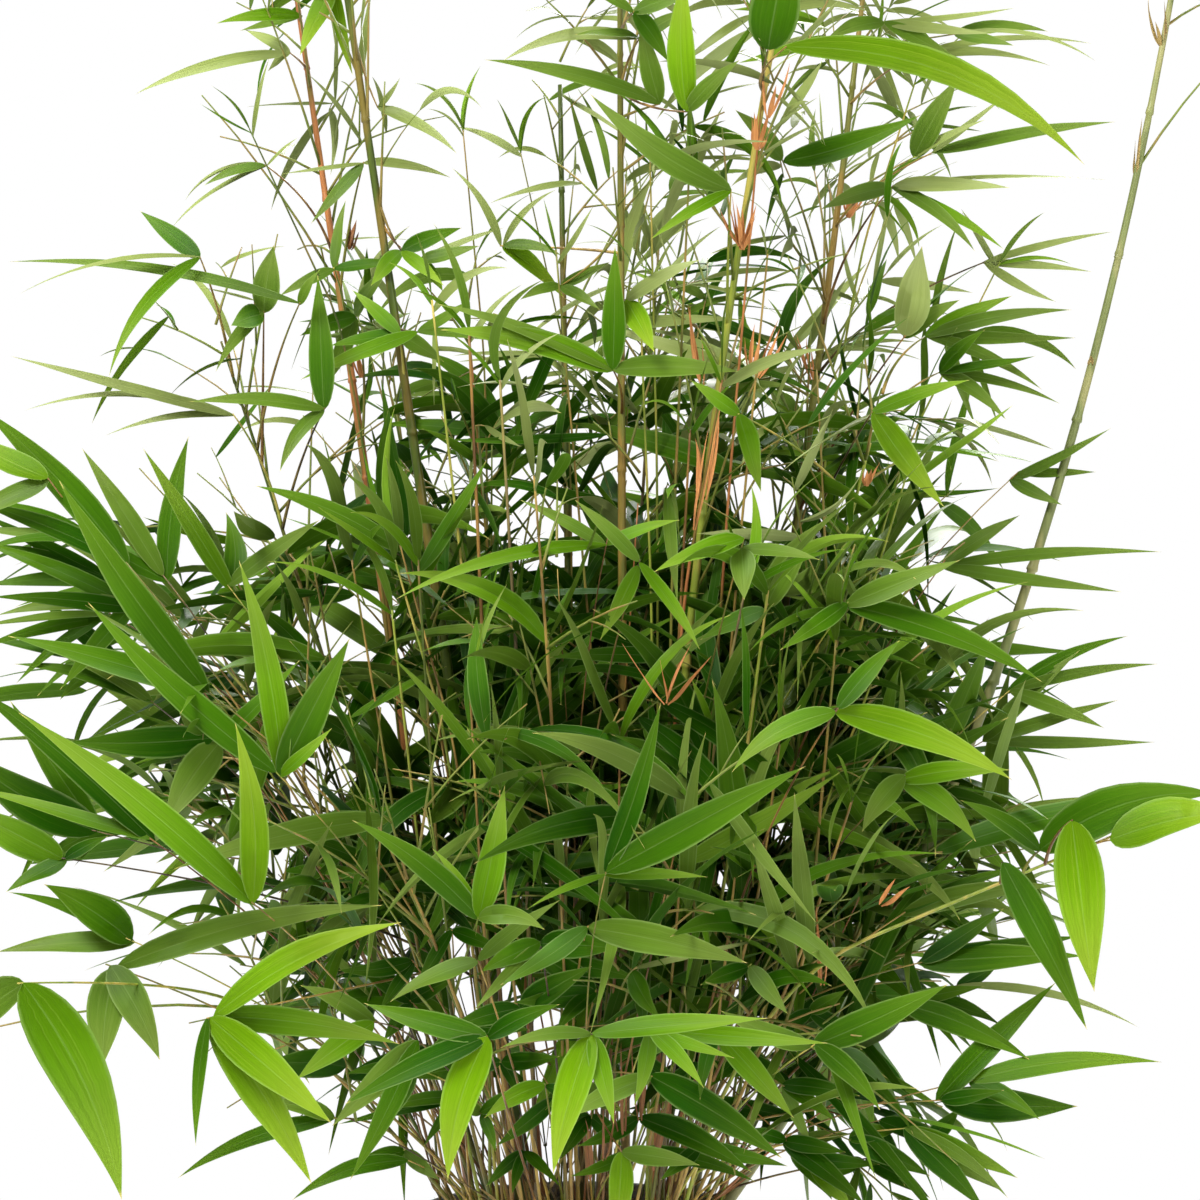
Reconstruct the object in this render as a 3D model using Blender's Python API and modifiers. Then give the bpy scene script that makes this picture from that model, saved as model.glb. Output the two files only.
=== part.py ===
"""A clump of bamboo standing in a plain round pot.

Metres, +Z up. The origin is the centre of the pot's flat underside, +X is the plant's right
and -Y its front. Every cane is one curved path from a foot on the soil to a tip. The lower
stretch of the path is a solid culm. The upper stretch is the stem of a mass of foliage, which
is one solid of its own and keeps to the space nearer to its stem than to any other stem.
"""

import math
from typing import NamedTuple

import bmesh
import bpy
import numpy as np

# Pot and soil
POT_HEIGHT = 0.189
POT_TOP_RADIUS = 0.106
POT_BASE_RADIUS = 0.083
POT_WALL = 0.003
POT_FLOOR = 0.004
RIM_DEPTH = 0.016
RIM_WIDTH = 0.004
RIM_ROUND = 0.0015
DRAIN_COUNT = 6
DRAIN_RADIUS = 0.006
DRAIN_CIRCLE = 0.060
SOIL_LEVEL = 0.184
SOIL_FLAT_RADIUS = 0.094
SOIL_DIP = 0.004
ROUND_STEPS = 32

# Gap between solids that touch, so that neighbouring faces never overlap
GAP = 0.0003

# Culms
COLLAR = 0.004  # upright stretch at the foot, which gives the flat cut at soil level
FOOT_FLARE = 1.25
TIP_SHARE = 0.45  # a cane's radius at its tip, as a share of that at its foot
NODE_SPACING = 0.125
NODE_SWELL = 1.22
NODE_HALF = 0.0022  # half the height of the raised ring at a node
BODY_RADIUS = 0.0021

# Branches: they turn by the golden angle up the stem and lean in and shorten towards its tip
GOLDEN_ANGLE = math.radians(137.5)
BRANCH_LENGTH = 0.105
BRANCH_RADIUS = 0.0014
BRANCH_TAPER = 0.25
BRANCH_SAG = 0.16
BRANCH_SHORTENING = 0.40
SPREAD_LOW = 62.0  # degrees between a branch and its stem, at the foliage's foot and at its tip
SPREAD_HIGH = 32.0
SPREAD_STRAY = 8.0
BRANCH_STRAY = 0.3  # of the spacing between branches
LENGTH_STRAY = 0.2
TIP_STRETCH = 0.94  # the stem carries leaves of its own beyond this share of the cane

# Leaves: one ahead at a branch's end, then left and right by turns back along it
LEAVES_A_BRANCH = 5
LEAF_LENGTH = 0.145
LEAF_WIDTH = 0.025
LEAF_THICKNESS = 0.0020
LEAF_BELLY = 0.30  # where the blade is widest, as a share of its length
LEAF_DROOP = 0.26
LEAF_SINK = 0.0005  # how far a side leaf's root runs past the middle of its twig
END_SINK = 0.004  # how far back in its twig the end leaf's root is
LEAF_SPACING = 0.16  # of the branch's length
LEAF_STRAY = 0.15
LEAF_ROLL = 0.9  # radians that a blade may turn about its own length
FAN_FIRST = 39.0  # degrees between the first side leaf and its branch, and what each next adds
FAN_STEP = 9.0
FAN_STRAY = 8.0
LEAF_SIZES = (1.0, 0.8, 0.62, 0.48)  # a leaf that doesn't fit its space is tried shorter

# Space round each mass
PATH_PIECES = 8
SPACE_MARGIN = 0.0044  # how much nearer to its own stem than to any other a leaf keeps
LIMB_MARGIN = 0.0016
POT_MARGIN = 0.004
LOWEST = 0.168

UP = np.array([0.0, 0.0, 1.0])


class Cane(NamedTuple):
    """One cane. bow swells its path outwards and arch upwards, both most at mid length."""

    name: str
    foot: tuple
    top: tuple
    bow: float
    arch: float
    radius: float
    leafy_from: float
    branches: int
    leaves: int
    size: float
    seed: int


# The canes that stand out of the crown or give it its outline: foot x and y, tip x, y and z
LEADERS = (
    Cane("tall_left", (-0.030, -0.020), (-0.153, -0.040, 1.020), 0.000, 0.00, 0.0037, 0.80, 7, 16, 0.90, 11),
    Cane("tall_red", (-0.066, 0.004), (-0.186, 0.050, 0.990), 0.000, 0.00, 0.0032, 0.74, 8, 18, 0.90, 12),
    Cane("tall_centre", (0.028, -0.030), (0.024, -0.080, 0.985), 0.004, 0.00, 0.0031, 0.62, 9, 18, 0.90, 13),
    Cane("tall_front", (0.043, -0.050), (0.122, -0.100, 0.945), -0.018, 0.00, 0.0031, 0.56, 9, 18, 0.90, 14),
    Cane("tall_right", (0.070, 0.030), (0.184, 0.060, 0.985), 0.006, 0.00, 0.0033, 0.56, 9, 18, 0.90, 15),
    Cane("tall_far_right", (0.084, 0.002), (0.374, 0.000, 0.990), 0.030, -0.06, 0.0038, 0.93, 4, 9, 0.65, 16),
    Cane("tall_back", (0.002, 0.052), (-0.015, 0.160, 0.950), 0.010, 0.00, 0.0032, 0.56, 9, 18, 0.90, 17),
    Cane("arch_left", (-0.052, -0.012), (-0.225, -0.030, 0.750), 0.010, 0.04, 0.0026, 0.56, 9, 18, 0.95, 18),
    Cane("inner_left", (-0.022, 0.012), (-0.070, -0.020, 0.760), 0.000, 0.00, 0.0024, 0.36, 16, 16, 0.90, 19),
    Cane("inner_centre", (0.010, 0.008), (0.050, 0.050, 0.800), 0.000, 0.00, 0.0025, 0.36, 16, 16, 0.90, 20),
    Cane("arch_right", (0.050, -0.018), (0.185, -0.075, 0.715), 0.010, 0.03, 0.0026, 0.50, 9, 18, 0.90, 21),
    Cane("back_left", (-0.040, 0.048), (-0.130, 0.160, 0.740), 0.010, 0.02, 0.0024, 0.50, 9, 18, 0.95, 22),
    Cane("back_right", (0.048, 0.050), (0.150, 0.170, 0.730), 0.010, 0.02, 0.0024, 0.50, 9, 18, 0.95, 23),
)


class Ring(NamedTuple):
    """A ring of leaning canes spread evenly round the clump, every second one taller."""

    name: str
    count: int
    first_turn: float
    foot_radius: float
    reach: float
    rise: float
    taller: float
    bow: float
    arch: float
    leafy_from: float
    branches: int
    leaves: int


RINGS = (
    Ring("middle", 7, 12.0, 0.055, 0.220, 0.360, 0.080, 0.000, 0.030, 0.40, 10, 18),
    Ring("low", 8, 34.0, 0.078, 0.225, 0.160, 0.090, 0.010, 0.030, 0.36, 9, 18),
)
RING_SEED = 40
TURN_SWAY = 9.0  # degrees that a ring's cane may stray from even spacing
SIZE_SWAY = 0.08
RING_LEAF_SIZE = 0.95
RING_DRIFT = -0.025  # the rings' tips stand this far to the left of the clump's middle


# ---------------------------------------------------------------- scene and materials


def clear_scene():
    for thing in list(bpy.data.objects):
        bpy.data.objects.remove(thing, do_unlink=True)


def new_collection(name):
    made = bpy.data.collections.new(name)
    bpy.context.scene.collection.children.link(made)
    return made


def plain_material(name, colour, roughness):
    """A Principled material of one colour."""
    made = bpy.data.materials.new(name)
    made.use_nodes = True
    shader = made.node_tree.nodes["Principled BSDF"]
    shader.inputs["Base Color"].default_value = (*colour, 1.0)
    shader.inputs["Roughness"].default_value = roughness
    shader.inputs["Metallic"].default_value = 0.0
    return made


def add_object(name, data, collection, material):
    made = bpy.data.objects.new(name, data)
    data.materials.append(material)
    collection.objects.link(made)
    return made


# ---------------------------------------------------------------- pot and soil


def turned(name, profile, collection, material):
    """A solid of revolution: the profile's points, (radius, height), swept round Z."""
    mesh = bpy.data.meshes.new(name)
    points = [(radius, 0.0, height) for radius, height in profile]
    edges = [(i, i + 1) for i in range(len(points) - 1)]
    mesh.from_pydata(points, edges, [])
    made = add_object(name, mesh, collection, material)
    screw = made.modifiers.new("Turn", "SCREW")
    screw.axis = "Z"
    screw.steps = screw.render_steps = ROUND_STEPS
    screw.use_merge_vertices = True
    screw.merge_threshold = 0.00005
    screw.use_smooth_shade = True
    return made


def pot_inner_radius(height):
    """The inner wall's radius at a height: the wall is straight from floor to lip."""
    share = height / POT_HEIGHT
    return POT_BASE_RADIUS + (POT_TOP_RADIUS - POT_BASE_RADIUS) * share - POT_WALL


def pot_profile():
    """Floor, up the inner wall, over the lip, round the rim and down the outer wall."""
    outer_at_rim = pot_inner_radius(POT_HEIGHT - RIM_DEPTH) + POT_WALL
    rim_radius = POT_TOP_RADIUS + RIM_WIDTH
    return [
        (0.0, POT_FLOOR),
        (pot_inner_radius(POT_FLOOR), POT_FLOOR),
        (pot_inner_radius(POT_HEIGHT - RIM_ROUND), POT_HEIGHT - RIM_ROUND),
        (pot_inner_radius(POT_HEIGHT) + RIM_ROUND, POT_HEIGHT),
        (rim_radius - RIM_ROUND, POT_HEIGHT),
        (rim_radius, POT_HEIGHT - RIM_ROUND),
        (rim_radius, POT_HEIGHT - RIM_DEPTH + RIM_ROUND),
        (rim_radius - RIM_ROUND, POT_HEIGHT - RIM_DEPTH),
        (outer_at_rim, POT_HEIGHT - RIM_DEPTH),
        (POT_BASE_RADIUS + RIM_ROUND * 0.5, RIM_ROUND),
        (POT_BASE_RADIUS - RIM_ROUND, 0.0),
        (0.0, 0.0),
    ]


def drain_cutters(collection):
    """Upright cylinders, one through the pot's floor for each drainage hole."""
    for k in range(DRAIN_COUNT):
        turn = 2 * math.pi * k / DRAIN_COUNT
        bpy.ops.mesh.primitive_cylinder_add(
            vertices=12,
            radius=DRAIN_RADIUS,
            depth=POT_FLOOR * 4,
            location=(DRAIN_CIRCLE * math.cos(turn), DRAIN_CIRCLE * math.sin(turn), 0.0),
        )
        cutter = bpy.context.object
        cutter.name = f"drain_cutter_{k + 1}"
        cutter.hide_render = True
        cutter.display_type = "WIRE"
        for home in list(cutter.users_collection):
            home.objects.unlink(cutter)
        collection.objects.link(cutter)


def make_pot(parts, cutters, material):
    pot = turned("pot", pot_profile(), parts, material)
    drain_cutters(cutters)
    cut = pot.modifiers.new("Drainage holes", "BOOLEAN")
    cut.operation = "DIFFERENCE"
    cut.operand_type = "COLLECTION"
    cut.collection = cutters


def make_soil(parts, material):
    """The filling: clear of the pot all round, flat where the canes stand, lower at the wall."""
    edge_height = SOIL_LEVEL - SOIL_DIP
    turned(
        "soil",
        [
            (0.0, SOIL_LEVEL),
            (SOIL_FLAT_RADIUS, SOIL_LEVEL),
            (pot_inner_radius(edge_height) - GAP, edge_height),
            (pot_inner_radius(POT_FLOOR) - GAP, POT_FLOOR + GAP),
            (0.0, POT_FLOOR + GAP),
        ],
        parts,
        material,
    )


# ---------------------------------------------------------------- canes


def ring_canes():
    """The canes of the rings, each strayed a little in turn, reach and rise by its seed."""
    made = []
    for r, ring in enumerate(RINGS):
        for k in range(ring.count):
            seed = RING_SEED * (r + 1) + k
            stray = np.random.default_rng(seed).uniform(-1, 1, 3)
            turn = math.radians(ring.first_turn + 360 * k / ring.count + TURN_SWAY * stray[0])
            reach = ring.reach * (1 + SIZE_SWAY * stray[1])
            rise = ring.rise * (1 + SIZE_SWAY * stray[2]) + ring.taller * (k % 2)
            way = np.array([math.cos(turn), math.sin(turn)])
            foot = tuple(way * ring.foot_radius)
            top = (way[0] * reach + RING_DRIFT, way[1] * reach, SOIL_LEVEL + rise)
            made.append(
                Cane(
                    f"{ring.name}_{k + 1}", foot, top, ring.bow, ring.arch, BODY_RADIUS,
                    ring.leafy_from, ring.branches, ring.leaves, RING_LEAF_SIZE, seed,
                )
            )
    return made


def cane_point(cane, share):
    """Straight line from foot to tip, swelled outwards and upwards by 4 s (1 - s)."""
    foot = np.array([*cane.foot, SOIL_LEVEL + GAP + COLLAR])
    run = np.array(cane.top) - foot
    outward = run * (1, 1, 0) / np.linalg.norm(run[:2])
    swell = 4 * share * (1 - share)
    return foot + run * share + outward * cane.bow * swell + UP * cane.arch * swell


def cane_way(cane, share):
    """The cane's unit direction at a share of its path."""
    step = 0.001
    run = cane_point(cane, share + step) - cane_point(cane, share - step)
    return run / np.linalg.norm(run)


def cane_radius(cane, share):
    return cane.radius * (1 - (1 - TIP_SHARE) * share)


def tube(name, foot, points, radii, collection, material):
    """A six-sided tube along the points, capped at both ends, with its origin at its foot."""
    curve = bpy.data.curves.new(name, "CURVE")
    curve.dimensions = "3D"
    curve.bevel_depth = 1.0
    curve.bevel_resolution = 1
    curve.use_fill_caps = True
    spline = curve.splines.new("POLY")
    spline.points.add(len(points) - 1)
    for place, point, radius in zip(spline.points, points, radii):
        place.co = (*(point - foot), 1.0)
        place.radius = radius
    made = add_object(name, curve, collection, material)
    made.location = foot
    return made


def culm_shares(cane, is_leader):
    """Where a culm gets a ring of points, with how much it is swelled there."""
    if not is_leader:
        return [(share, 1.0) for share in np.linspace(0, cane.leafy_from, 3)]
    length = np.linalg.norm(np.array(cane.top) - (*cane.foot, SOIL_LEVEL))
    count = max(3, round(cane.leafy_from * length / NODE_SPACING))
    half = NODE_HALF / length
    rings = [(0.0, 1.0)]
    for k in range(1, count):
        node = cane.leafy_from * k / count
        rings += [(node - half, 1.0), (node, NODE_SWELL), (node + half, 1.0)]
    return [*rings, (cane.leafy_from, 1.0)]


def make_culm(cane, is_leader, collection, material):
    """The cane's bare stretch, from its flat cut on the soil to where its foliage starts."""
    rings = culm_shares(cane, is_leader)
    foot = np.array([*cane.foot, SOIL_LEVEL + GAP])
    points = [foot] + [cane_point(cane, share) for share, _ in rings]
    radii = [cane.radius * FOOT_FLARE] + [cane_radius(cane, share) * swell for share, swell in rings]
    tube(f"culm_{cane.name}", foot, points, radii, collection, material)


# ---------------------------------------------------------------- space that a mass keeps to


def path_pieces(cane, low, high):
    """A stretch of a cane's path as short straight pieces, each a start and an end point."""
    points = np.array([cane_point(cane, share) for share in np.linspace(low, high, PATH_PIECES + 1)])
    return np.stack([points[:-1], points[1:]], axis=1)


def distances(points, pieces):
    """Distance from every point to every segment."""
    start, run = pieces[:, 0], pieces[:, 1] - pieces[:, 0]
    away = points[:, None, :] - start[None]
    share = (away * run).sum(2) / (run * run).sum(1)
    nearest = start + np.clip(share, 0, 1)[..., None] * run
    return np.linalg.norm(points[:, None, :] - nearest, axis=2)


class Space:
    """Which stem a point is nearest to, and how clear it is of the culms and the pot."""

    def __init__(self, canes):
        stems = [path_pieces(cane, cane.leafy_from, 1.0) for cane in canes]
        culms = [path_pieces(cane, 0.0, cane.leafy_from) for cane in canes]
        self.stems = np.concatenate(stems)
        self.culms = np.concatenate(culms)
        self.owner = np.repeat(np.arange(len(canes)), PATH_PIECES)
        self.reach = np.repeat([cane.radius * NODE_SWELL for cane in canes], PATH_PIECES) + LIMB_MARGIN

    def holds(self, k, points):
        """True if the points lie in mass k's own space and clear of every limb and the pot."""
        to_stems = distances(points, self.stems)
        own = to_stems[:, self.owner == k].min(1)
        other = to_stems[:, self.owner != k].min(1)
        if (own + SPACE_MARGIN > other).any():
            return False
        if (distances(points, self.culms) < self.reach).any():
            return False
        if (points[:, 2] < LOWEST).any():
            return False
        near_pot = np.linalg.norm(points[:, :2], axis=1) < POT_TOP_RADIUS + RIM_WIDTH + POT_MARGIN
        return not (near_pot & (points[:, 2] < POT_HEIGHT + POT_MARGIN)).any()


# ---------------------------------------------------------------- foliage


def loft(rings):
    """Points and faces of a closed solid through rings of equal count, flat at both ends."""
    sides = len(rings[0])
    last = (len(rings) - 1) * sides
    faces = [tuple(reversed(range(sides))), tuple(range(last, last + sides))]
    for r in range(len(rings) - 1):
        for i in range(sides):
            j = (i + 1) % sides
            low, high = r * sides, (r + 1) * sides
            faces.append((low + i, low + j, high + j, high + i))
    return np.concatenate(rings), faces


def across(way):
    """Two unit vectors square to a direction and to each other: one level, one upward."""
    level = np.cross(way, UP)
    if np.linalg.norm(level) < 1e-6:
        level = np.array([1.0, 0.0, 0.0])
    level = level / np.linalg.norm(level)
    return level, np.cross(level, way)


def ring_about(centre, way, radius, sides):
    level, upward = across(way)
    turns = 2 * math.pi * np.arange(sides) / sides
    return centre + radius * (np.outer(np.cos(turns), level) + np.outer(np.sin(turns), -upward))


def stem_solid(cane):
    """The foliage's five-sided stem: it carries the culm's taper on to the cane's tip."""
    shares = np.linspace(cane.leafy_from, 1, 4)
    points = np.array([cane_point(cane, share) for share in shares])
    points[0] += GAP * cane_way(cane, cane.leafy_from)
    rings = [
        ring_about(point, cane_way(cane, share), cane_radius(cane, share), 5)
        for point, share in zip(points, shares)
    ]
    return loft(rings)


def branch_rule(cane):
    """Each branch's share of the cane, turn about it, spread from it and length."""
    rng = np.random.default_rng(cane.seed)
    k = np.arange(cane.branches)
    up_stem = (k + 0.5 + BRANCH_STRAY * rng.uniform(-1, 1, cane.branches)) / cane.branches
    share = cane.leafy_from + (1 - cane.leafy_from) * up_stem
    turn = rng.uniform(0, 2 * math.pi) + k * GOLDEN_ANGLE
    spread = SPREAD_LOW + (SPREAD_HIGH - SPREAD_LOW) * up_stem
    spread = np.radians(spread + SPREAD_STRAY * rng.uniform(-1, 1, cane.branches))
    length = cane.size * BRANCH_LENGTH * (1 - BRANCH_SHORTENING * up_stem)
    length = length * (1 + LENGTH_STRAY * rng.uniform(-1, 1, cane.branches))
    return zip(share, turn, spread, length)


def branch_path(cane, share, turn, spread, length):
    """Both ends: out from the stem at the spread angle, with the far end sagging."""
    way = cane_way(cane, share)
    level, upward = across(way)
    radial = math.cos(turn) * level + math.sin(turn) * upward
    out = math.cos(spread) * way + math.sin(spread) * radial
    start = cane_point(cane, share)
    return np.array([start, start + length * (out - BRANCH_SAG * UP)])


def twig_solid(path):
    """A straight three-sided twig that narrows to its end."""
    start, end = path
    way = (end - start) / np.linalg.norm(end - start)
    narrow = BRANCH_RADIUS * (1 - BRANCH_TAPER)
    return loft([ring_about(start, way, BRANCH_RADIUS, 3), ring_about(end, way, narrow, 3)])


def leaf_corners(root, way, roll, length):
    """A blade's five corners: its root, the belly's left, right and keel, and its tip.

    The belly stands above the line from root to tip, so that the blade arches and droops.
    """
    level, upward = across(way)
    side = math.cos(roll) * level + math.sin(roll) * upward
    face = np.cross(side, way)
    half_width = 0.5 * LEAF_WIDTH * length / LEAF_LENGTH
    belly = root + way * length * LEAF_BELLY - UP * LEAF_DROOP * length * LEAF_BELLY**2
    tip = root + way * length - UP * LEAF_DROOP * length
    left = belly - side * half_width
    right = belly + side * half_width
    return np.array([root - way * LEAF_SINK, left, right, belly - face * LEAF_THICKNESS, tip])


def leaf_solid(root, way, roll, length):
    """The blade's six faces, three round its root and three round its tip."""
    faces = [(0, 2, 1), (0, 3, 2), (0, 1, 3), (4, 1, 2), (4, 2, 3), (4, 3, 1)]
    return leaf_corners(root, way, roll, length), faces


def leaf_samples(root, way, roll, length):
    """Points spread over the blade, for testing what space it takes."""
    start, left, right, keel, tip = leaf_corners(root, way, roll, length)
    shares = np.linspace(0, 1, 7)[:, None]
    edges = [a + (b - a) * shares for a, b in ((left, tip), (right, tip), (keel, tip))]
    inner = start + (keel - start) * shares[1:]
    return np.concatenate([*edges, inner])


def branch_leaves(path, rng):
    """A branch's leaves from its end inwards: each one's root, direction and roll."""
    start, end = path
    way = (end - start) / np.linalg.norm(end - start)
    level, _ = across(way)
    for j in range(LEAVES_A_BRANCH):
        root = end - way * END_SINK if j == 0 else end + (start - end) * LEAF_SPACING * j
        fan = 0.0 if j == 0 else (-1) ** j * (FAN_FIRST + FAN_STEP * (j - 1))
        fan = math.radians(fan + FAN_STRAY * rng.uniform(-1, 1))
        yield root, math.cos(fan) * way + math.sin(fan) * level, LEAF_ROLL * rng.uniform(-1, 1)


def plan_foliage(k, cane, space):
    """The twigs and leaves that fit mass k's space, with the leaves at branch ends first."""
    rng = np.random.default_rng([cane.seed, 1])
    tip = np.array([cane_point(cane, TIP_STRETCH), cane_point(cane, 1.0)])
    paths = [tip, *(branch_path(cane, *plan) for plan in branch_rule(cane))]
    offers = []
    for b, path in enumerate(paths):
        size = cane.size * LEAF_LENGTH * (1 + LEAF_STRAY * rng.uniform(-1, 1))
        leaves = list(branch_leaves(path, rng))
        if b == 0 or space.holds(k, np.linspace(*path, 5)[1:]):
            offers += [(j, b, leaf, size) for j, leaf in enumerate(leaves)]
    chosen = []
    for _, b, leaf, size in sorted(offers, key=lambda offer: offer[:2]):
        fitting = [size * s for s in LEAF_SIZES if space.holds(k, leaf_samples(*leaf, size * s))]
        if fitting:
            chosen.append((b, leaf_solid(*leaf, fitting[0])))
        if len(chosen) == cane.leaves:
            break
    used = sorted({b for b, _ in chosen if b > 0})
    return [twig_solid(paths[b]) for b in used] + [leaf for _, leaf in chosen]


def keep_largest_body(mesh):
    """Drops any loose scrap that a union leaves beside the main body."""
    bm = bmesh.new()
    bm.from_mesh(mesh)
    bodies, seen = [], set()
    for first in bm.verts:
        if first in seen:
            continue
        body, edge = {first}, [first]
        while edge:
            here = edge.pop()
            for link in here.link_edges:
                there = link.other_vert(here)
                if there not in body:
                    body.add(there)
                    edge.append(there)
        seen |= body
        bodies.append(body)
    largest = max(bodies, key=len)
    bmesh.ops.delete(bm, geom=[v for v in bm.verts if v not in largest], context="VERTS")
    bm.to_mesh(mesh)
    bm.free()


def solid_mesh(name, points, faces):
    mesh = bpy.data.meshes.new(name)
    mesh.from_pydata([tuple(p) for p in points], [], faces)
    return mesh


def fuse(name, base, pieces, collection, material):
    """One solid from a stem and the pieces that grow out of it, by one Boolean union."""
    joined = new_collection(f"{name}_pieces")
    for i, (points, faces) in enumerate(pieces):
        mesh = solid_mesh(f"{name}_piece_{i}", points, faces)
        joined.objects.link(bpy.data.objects.new(mesh.name, mesh))
    made = add_object(name, solid_mesh(name, *base), collection, material)
    union = made.modifiers.new("Union", "BOOLEAN")
    union.operation = "UNION"
    union.operand_type = "COLLECTION"
    union.collection = joined
    bpy.context.view_layer.update()
    graph = bpy.context.evaluated_depsgraph_get()
    whole = bpy.data.meshes.new_from_object(made.evaluated_get(graph))
    made.modifiers.clear()
    made.data = whole
    keep_largest_body(whole)
    for piece in list(joined.objects):
        bpy.data.objects.remove(piece, do_unlink=True)
    bpy.data.collections.remove(joined)
    return made


# ---------------------------------------------------------------- the whole plant


def build():
    clear_scene()
    parts = new_collection("potted_bamboo")
    cutters = new_collection("cutters")
    plastic = plain_material("pot_plastic", (0.035, 0.036, 0.037), 0.5)
    mix = plain_material("potting_mix", (0.055, 0.032, 0.020), 0.95)
    cane_green = plain_material("cane", (0.20, 0.22, 0.06), 0.45)
    leaf_green = plain_material("leaf", (0.09, 0.23, 0.025), 0.45)
    make_pot(parts, cutters, plastic)
    make_soil(parts, mix)
    canes = [*LEADERS, *ring_canes()]
    space = Space(canes)
    for k, cane in enumerate(canes):
        make_culm(cane, cane.name.startswith("tall"), parts, cane_green)
        pieces = plan_foliage(k, cane, space)
        fuse(f"foliage_{cane.name}", stem_solid(cane), pieces, parts, leaf_green)


build()
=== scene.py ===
"""A clump of bamboo in a plain round pot, dressed for rendering.

Every cane follows the frame's own paths. Its foliage grows by the same seeded rule as the solid
masses that it replaces, and goes on from their branches to finer twigs and life-size leaves.
Metres, +Z up, -Y to the plant's front.
"""

import math
from typing import NamedTuple

import bpy
import numpy as np
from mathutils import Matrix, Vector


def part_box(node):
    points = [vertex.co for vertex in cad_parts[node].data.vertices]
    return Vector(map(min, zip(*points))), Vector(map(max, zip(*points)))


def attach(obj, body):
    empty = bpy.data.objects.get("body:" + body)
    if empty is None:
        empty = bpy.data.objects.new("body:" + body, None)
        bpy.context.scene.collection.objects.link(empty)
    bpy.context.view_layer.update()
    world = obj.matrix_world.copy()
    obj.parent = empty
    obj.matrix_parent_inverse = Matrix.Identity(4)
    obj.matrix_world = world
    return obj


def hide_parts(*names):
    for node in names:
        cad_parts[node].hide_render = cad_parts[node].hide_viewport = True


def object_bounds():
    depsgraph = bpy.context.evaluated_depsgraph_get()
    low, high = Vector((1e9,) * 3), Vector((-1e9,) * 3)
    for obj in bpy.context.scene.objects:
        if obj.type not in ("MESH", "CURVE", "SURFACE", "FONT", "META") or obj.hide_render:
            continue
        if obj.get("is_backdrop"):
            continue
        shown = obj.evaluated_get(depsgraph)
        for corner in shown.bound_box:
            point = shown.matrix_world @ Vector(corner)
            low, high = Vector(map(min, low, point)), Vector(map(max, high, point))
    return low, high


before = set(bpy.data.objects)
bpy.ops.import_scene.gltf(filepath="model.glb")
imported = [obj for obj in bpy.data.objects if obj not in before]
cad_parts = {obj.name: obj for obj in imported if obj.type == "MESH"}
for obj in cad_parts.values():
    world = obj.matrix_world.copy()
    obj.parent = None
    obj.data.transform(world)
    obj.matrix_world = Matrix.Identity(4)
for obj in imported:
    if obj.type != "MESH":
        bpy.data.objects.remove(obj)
cad_low, cad_high = (np.array(corner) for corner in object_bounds())
pot_high = np.array(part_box("pot")[1])
soil_high = np.array(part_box("soil")[1])

UP = np.array([0.0, 0.0, 1.0])

# ================================================================ view

VIEW_PLACE = np.array([0.0124, -1.700, 0.572])
VIEW_SENSOR = 36.0
VIEW_LENS = 82.3
GRID_STEP = 0.00062  # one step of the view's grid, in the plane through the pot's axis
GRID_MIDDLE = 600  # the grid is 1200 steps each way, counted from the top left corner


def seen(across, down, depth):
    """The place at this y that shows at a point of the view's grid."""
    plane = VIEW_PLACE * (1, 0, 1)
    plane = plane + np.array([(across - GRID_MIDDLE) * GRID_STEP, 0.0, (GRID_MIDDLE - down) * GRID_STEP])
    return VIEW_PLACE + (plane - VIEW_PLACE) * (1 - depth / VIEW_PLACE[1])


def shown(points):
    """Where places show on the view's grid: seen, backwards."""
    away = (points - VIEW_PLACE) / (GRID_STEP * (1 - points[..., 1:2] / VIEW_PLACE[1]))
    return np.stack([GRID_MIDDLE + away[..., 0], GRID_MIDDLE - away[..., 2]], axis=-1)


# ================================================================ canes

SOIL_LEVEL = soil_high[2]
GAP = 0.0003
COLLAR = 0.004  # how far over the mix a cane's path starts
TIP_SHARE = 0.45  # of a cane's radius at its top
BODY_RADIUS = 0.0021
ROOTED = 0.002  # how far the stems reach into the mix


class Cane(NamedTuple):
    """One cane. bow swells its path outwards and arch upwards, both most at mid length."""

    name: str
    foot: tuple
    top: tuple
    bow: float
    arch: float
    radius: float
    leafy_from: float
    branches: int
    size: float
    seed: int
    skin: str
    leafy: float


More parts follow.
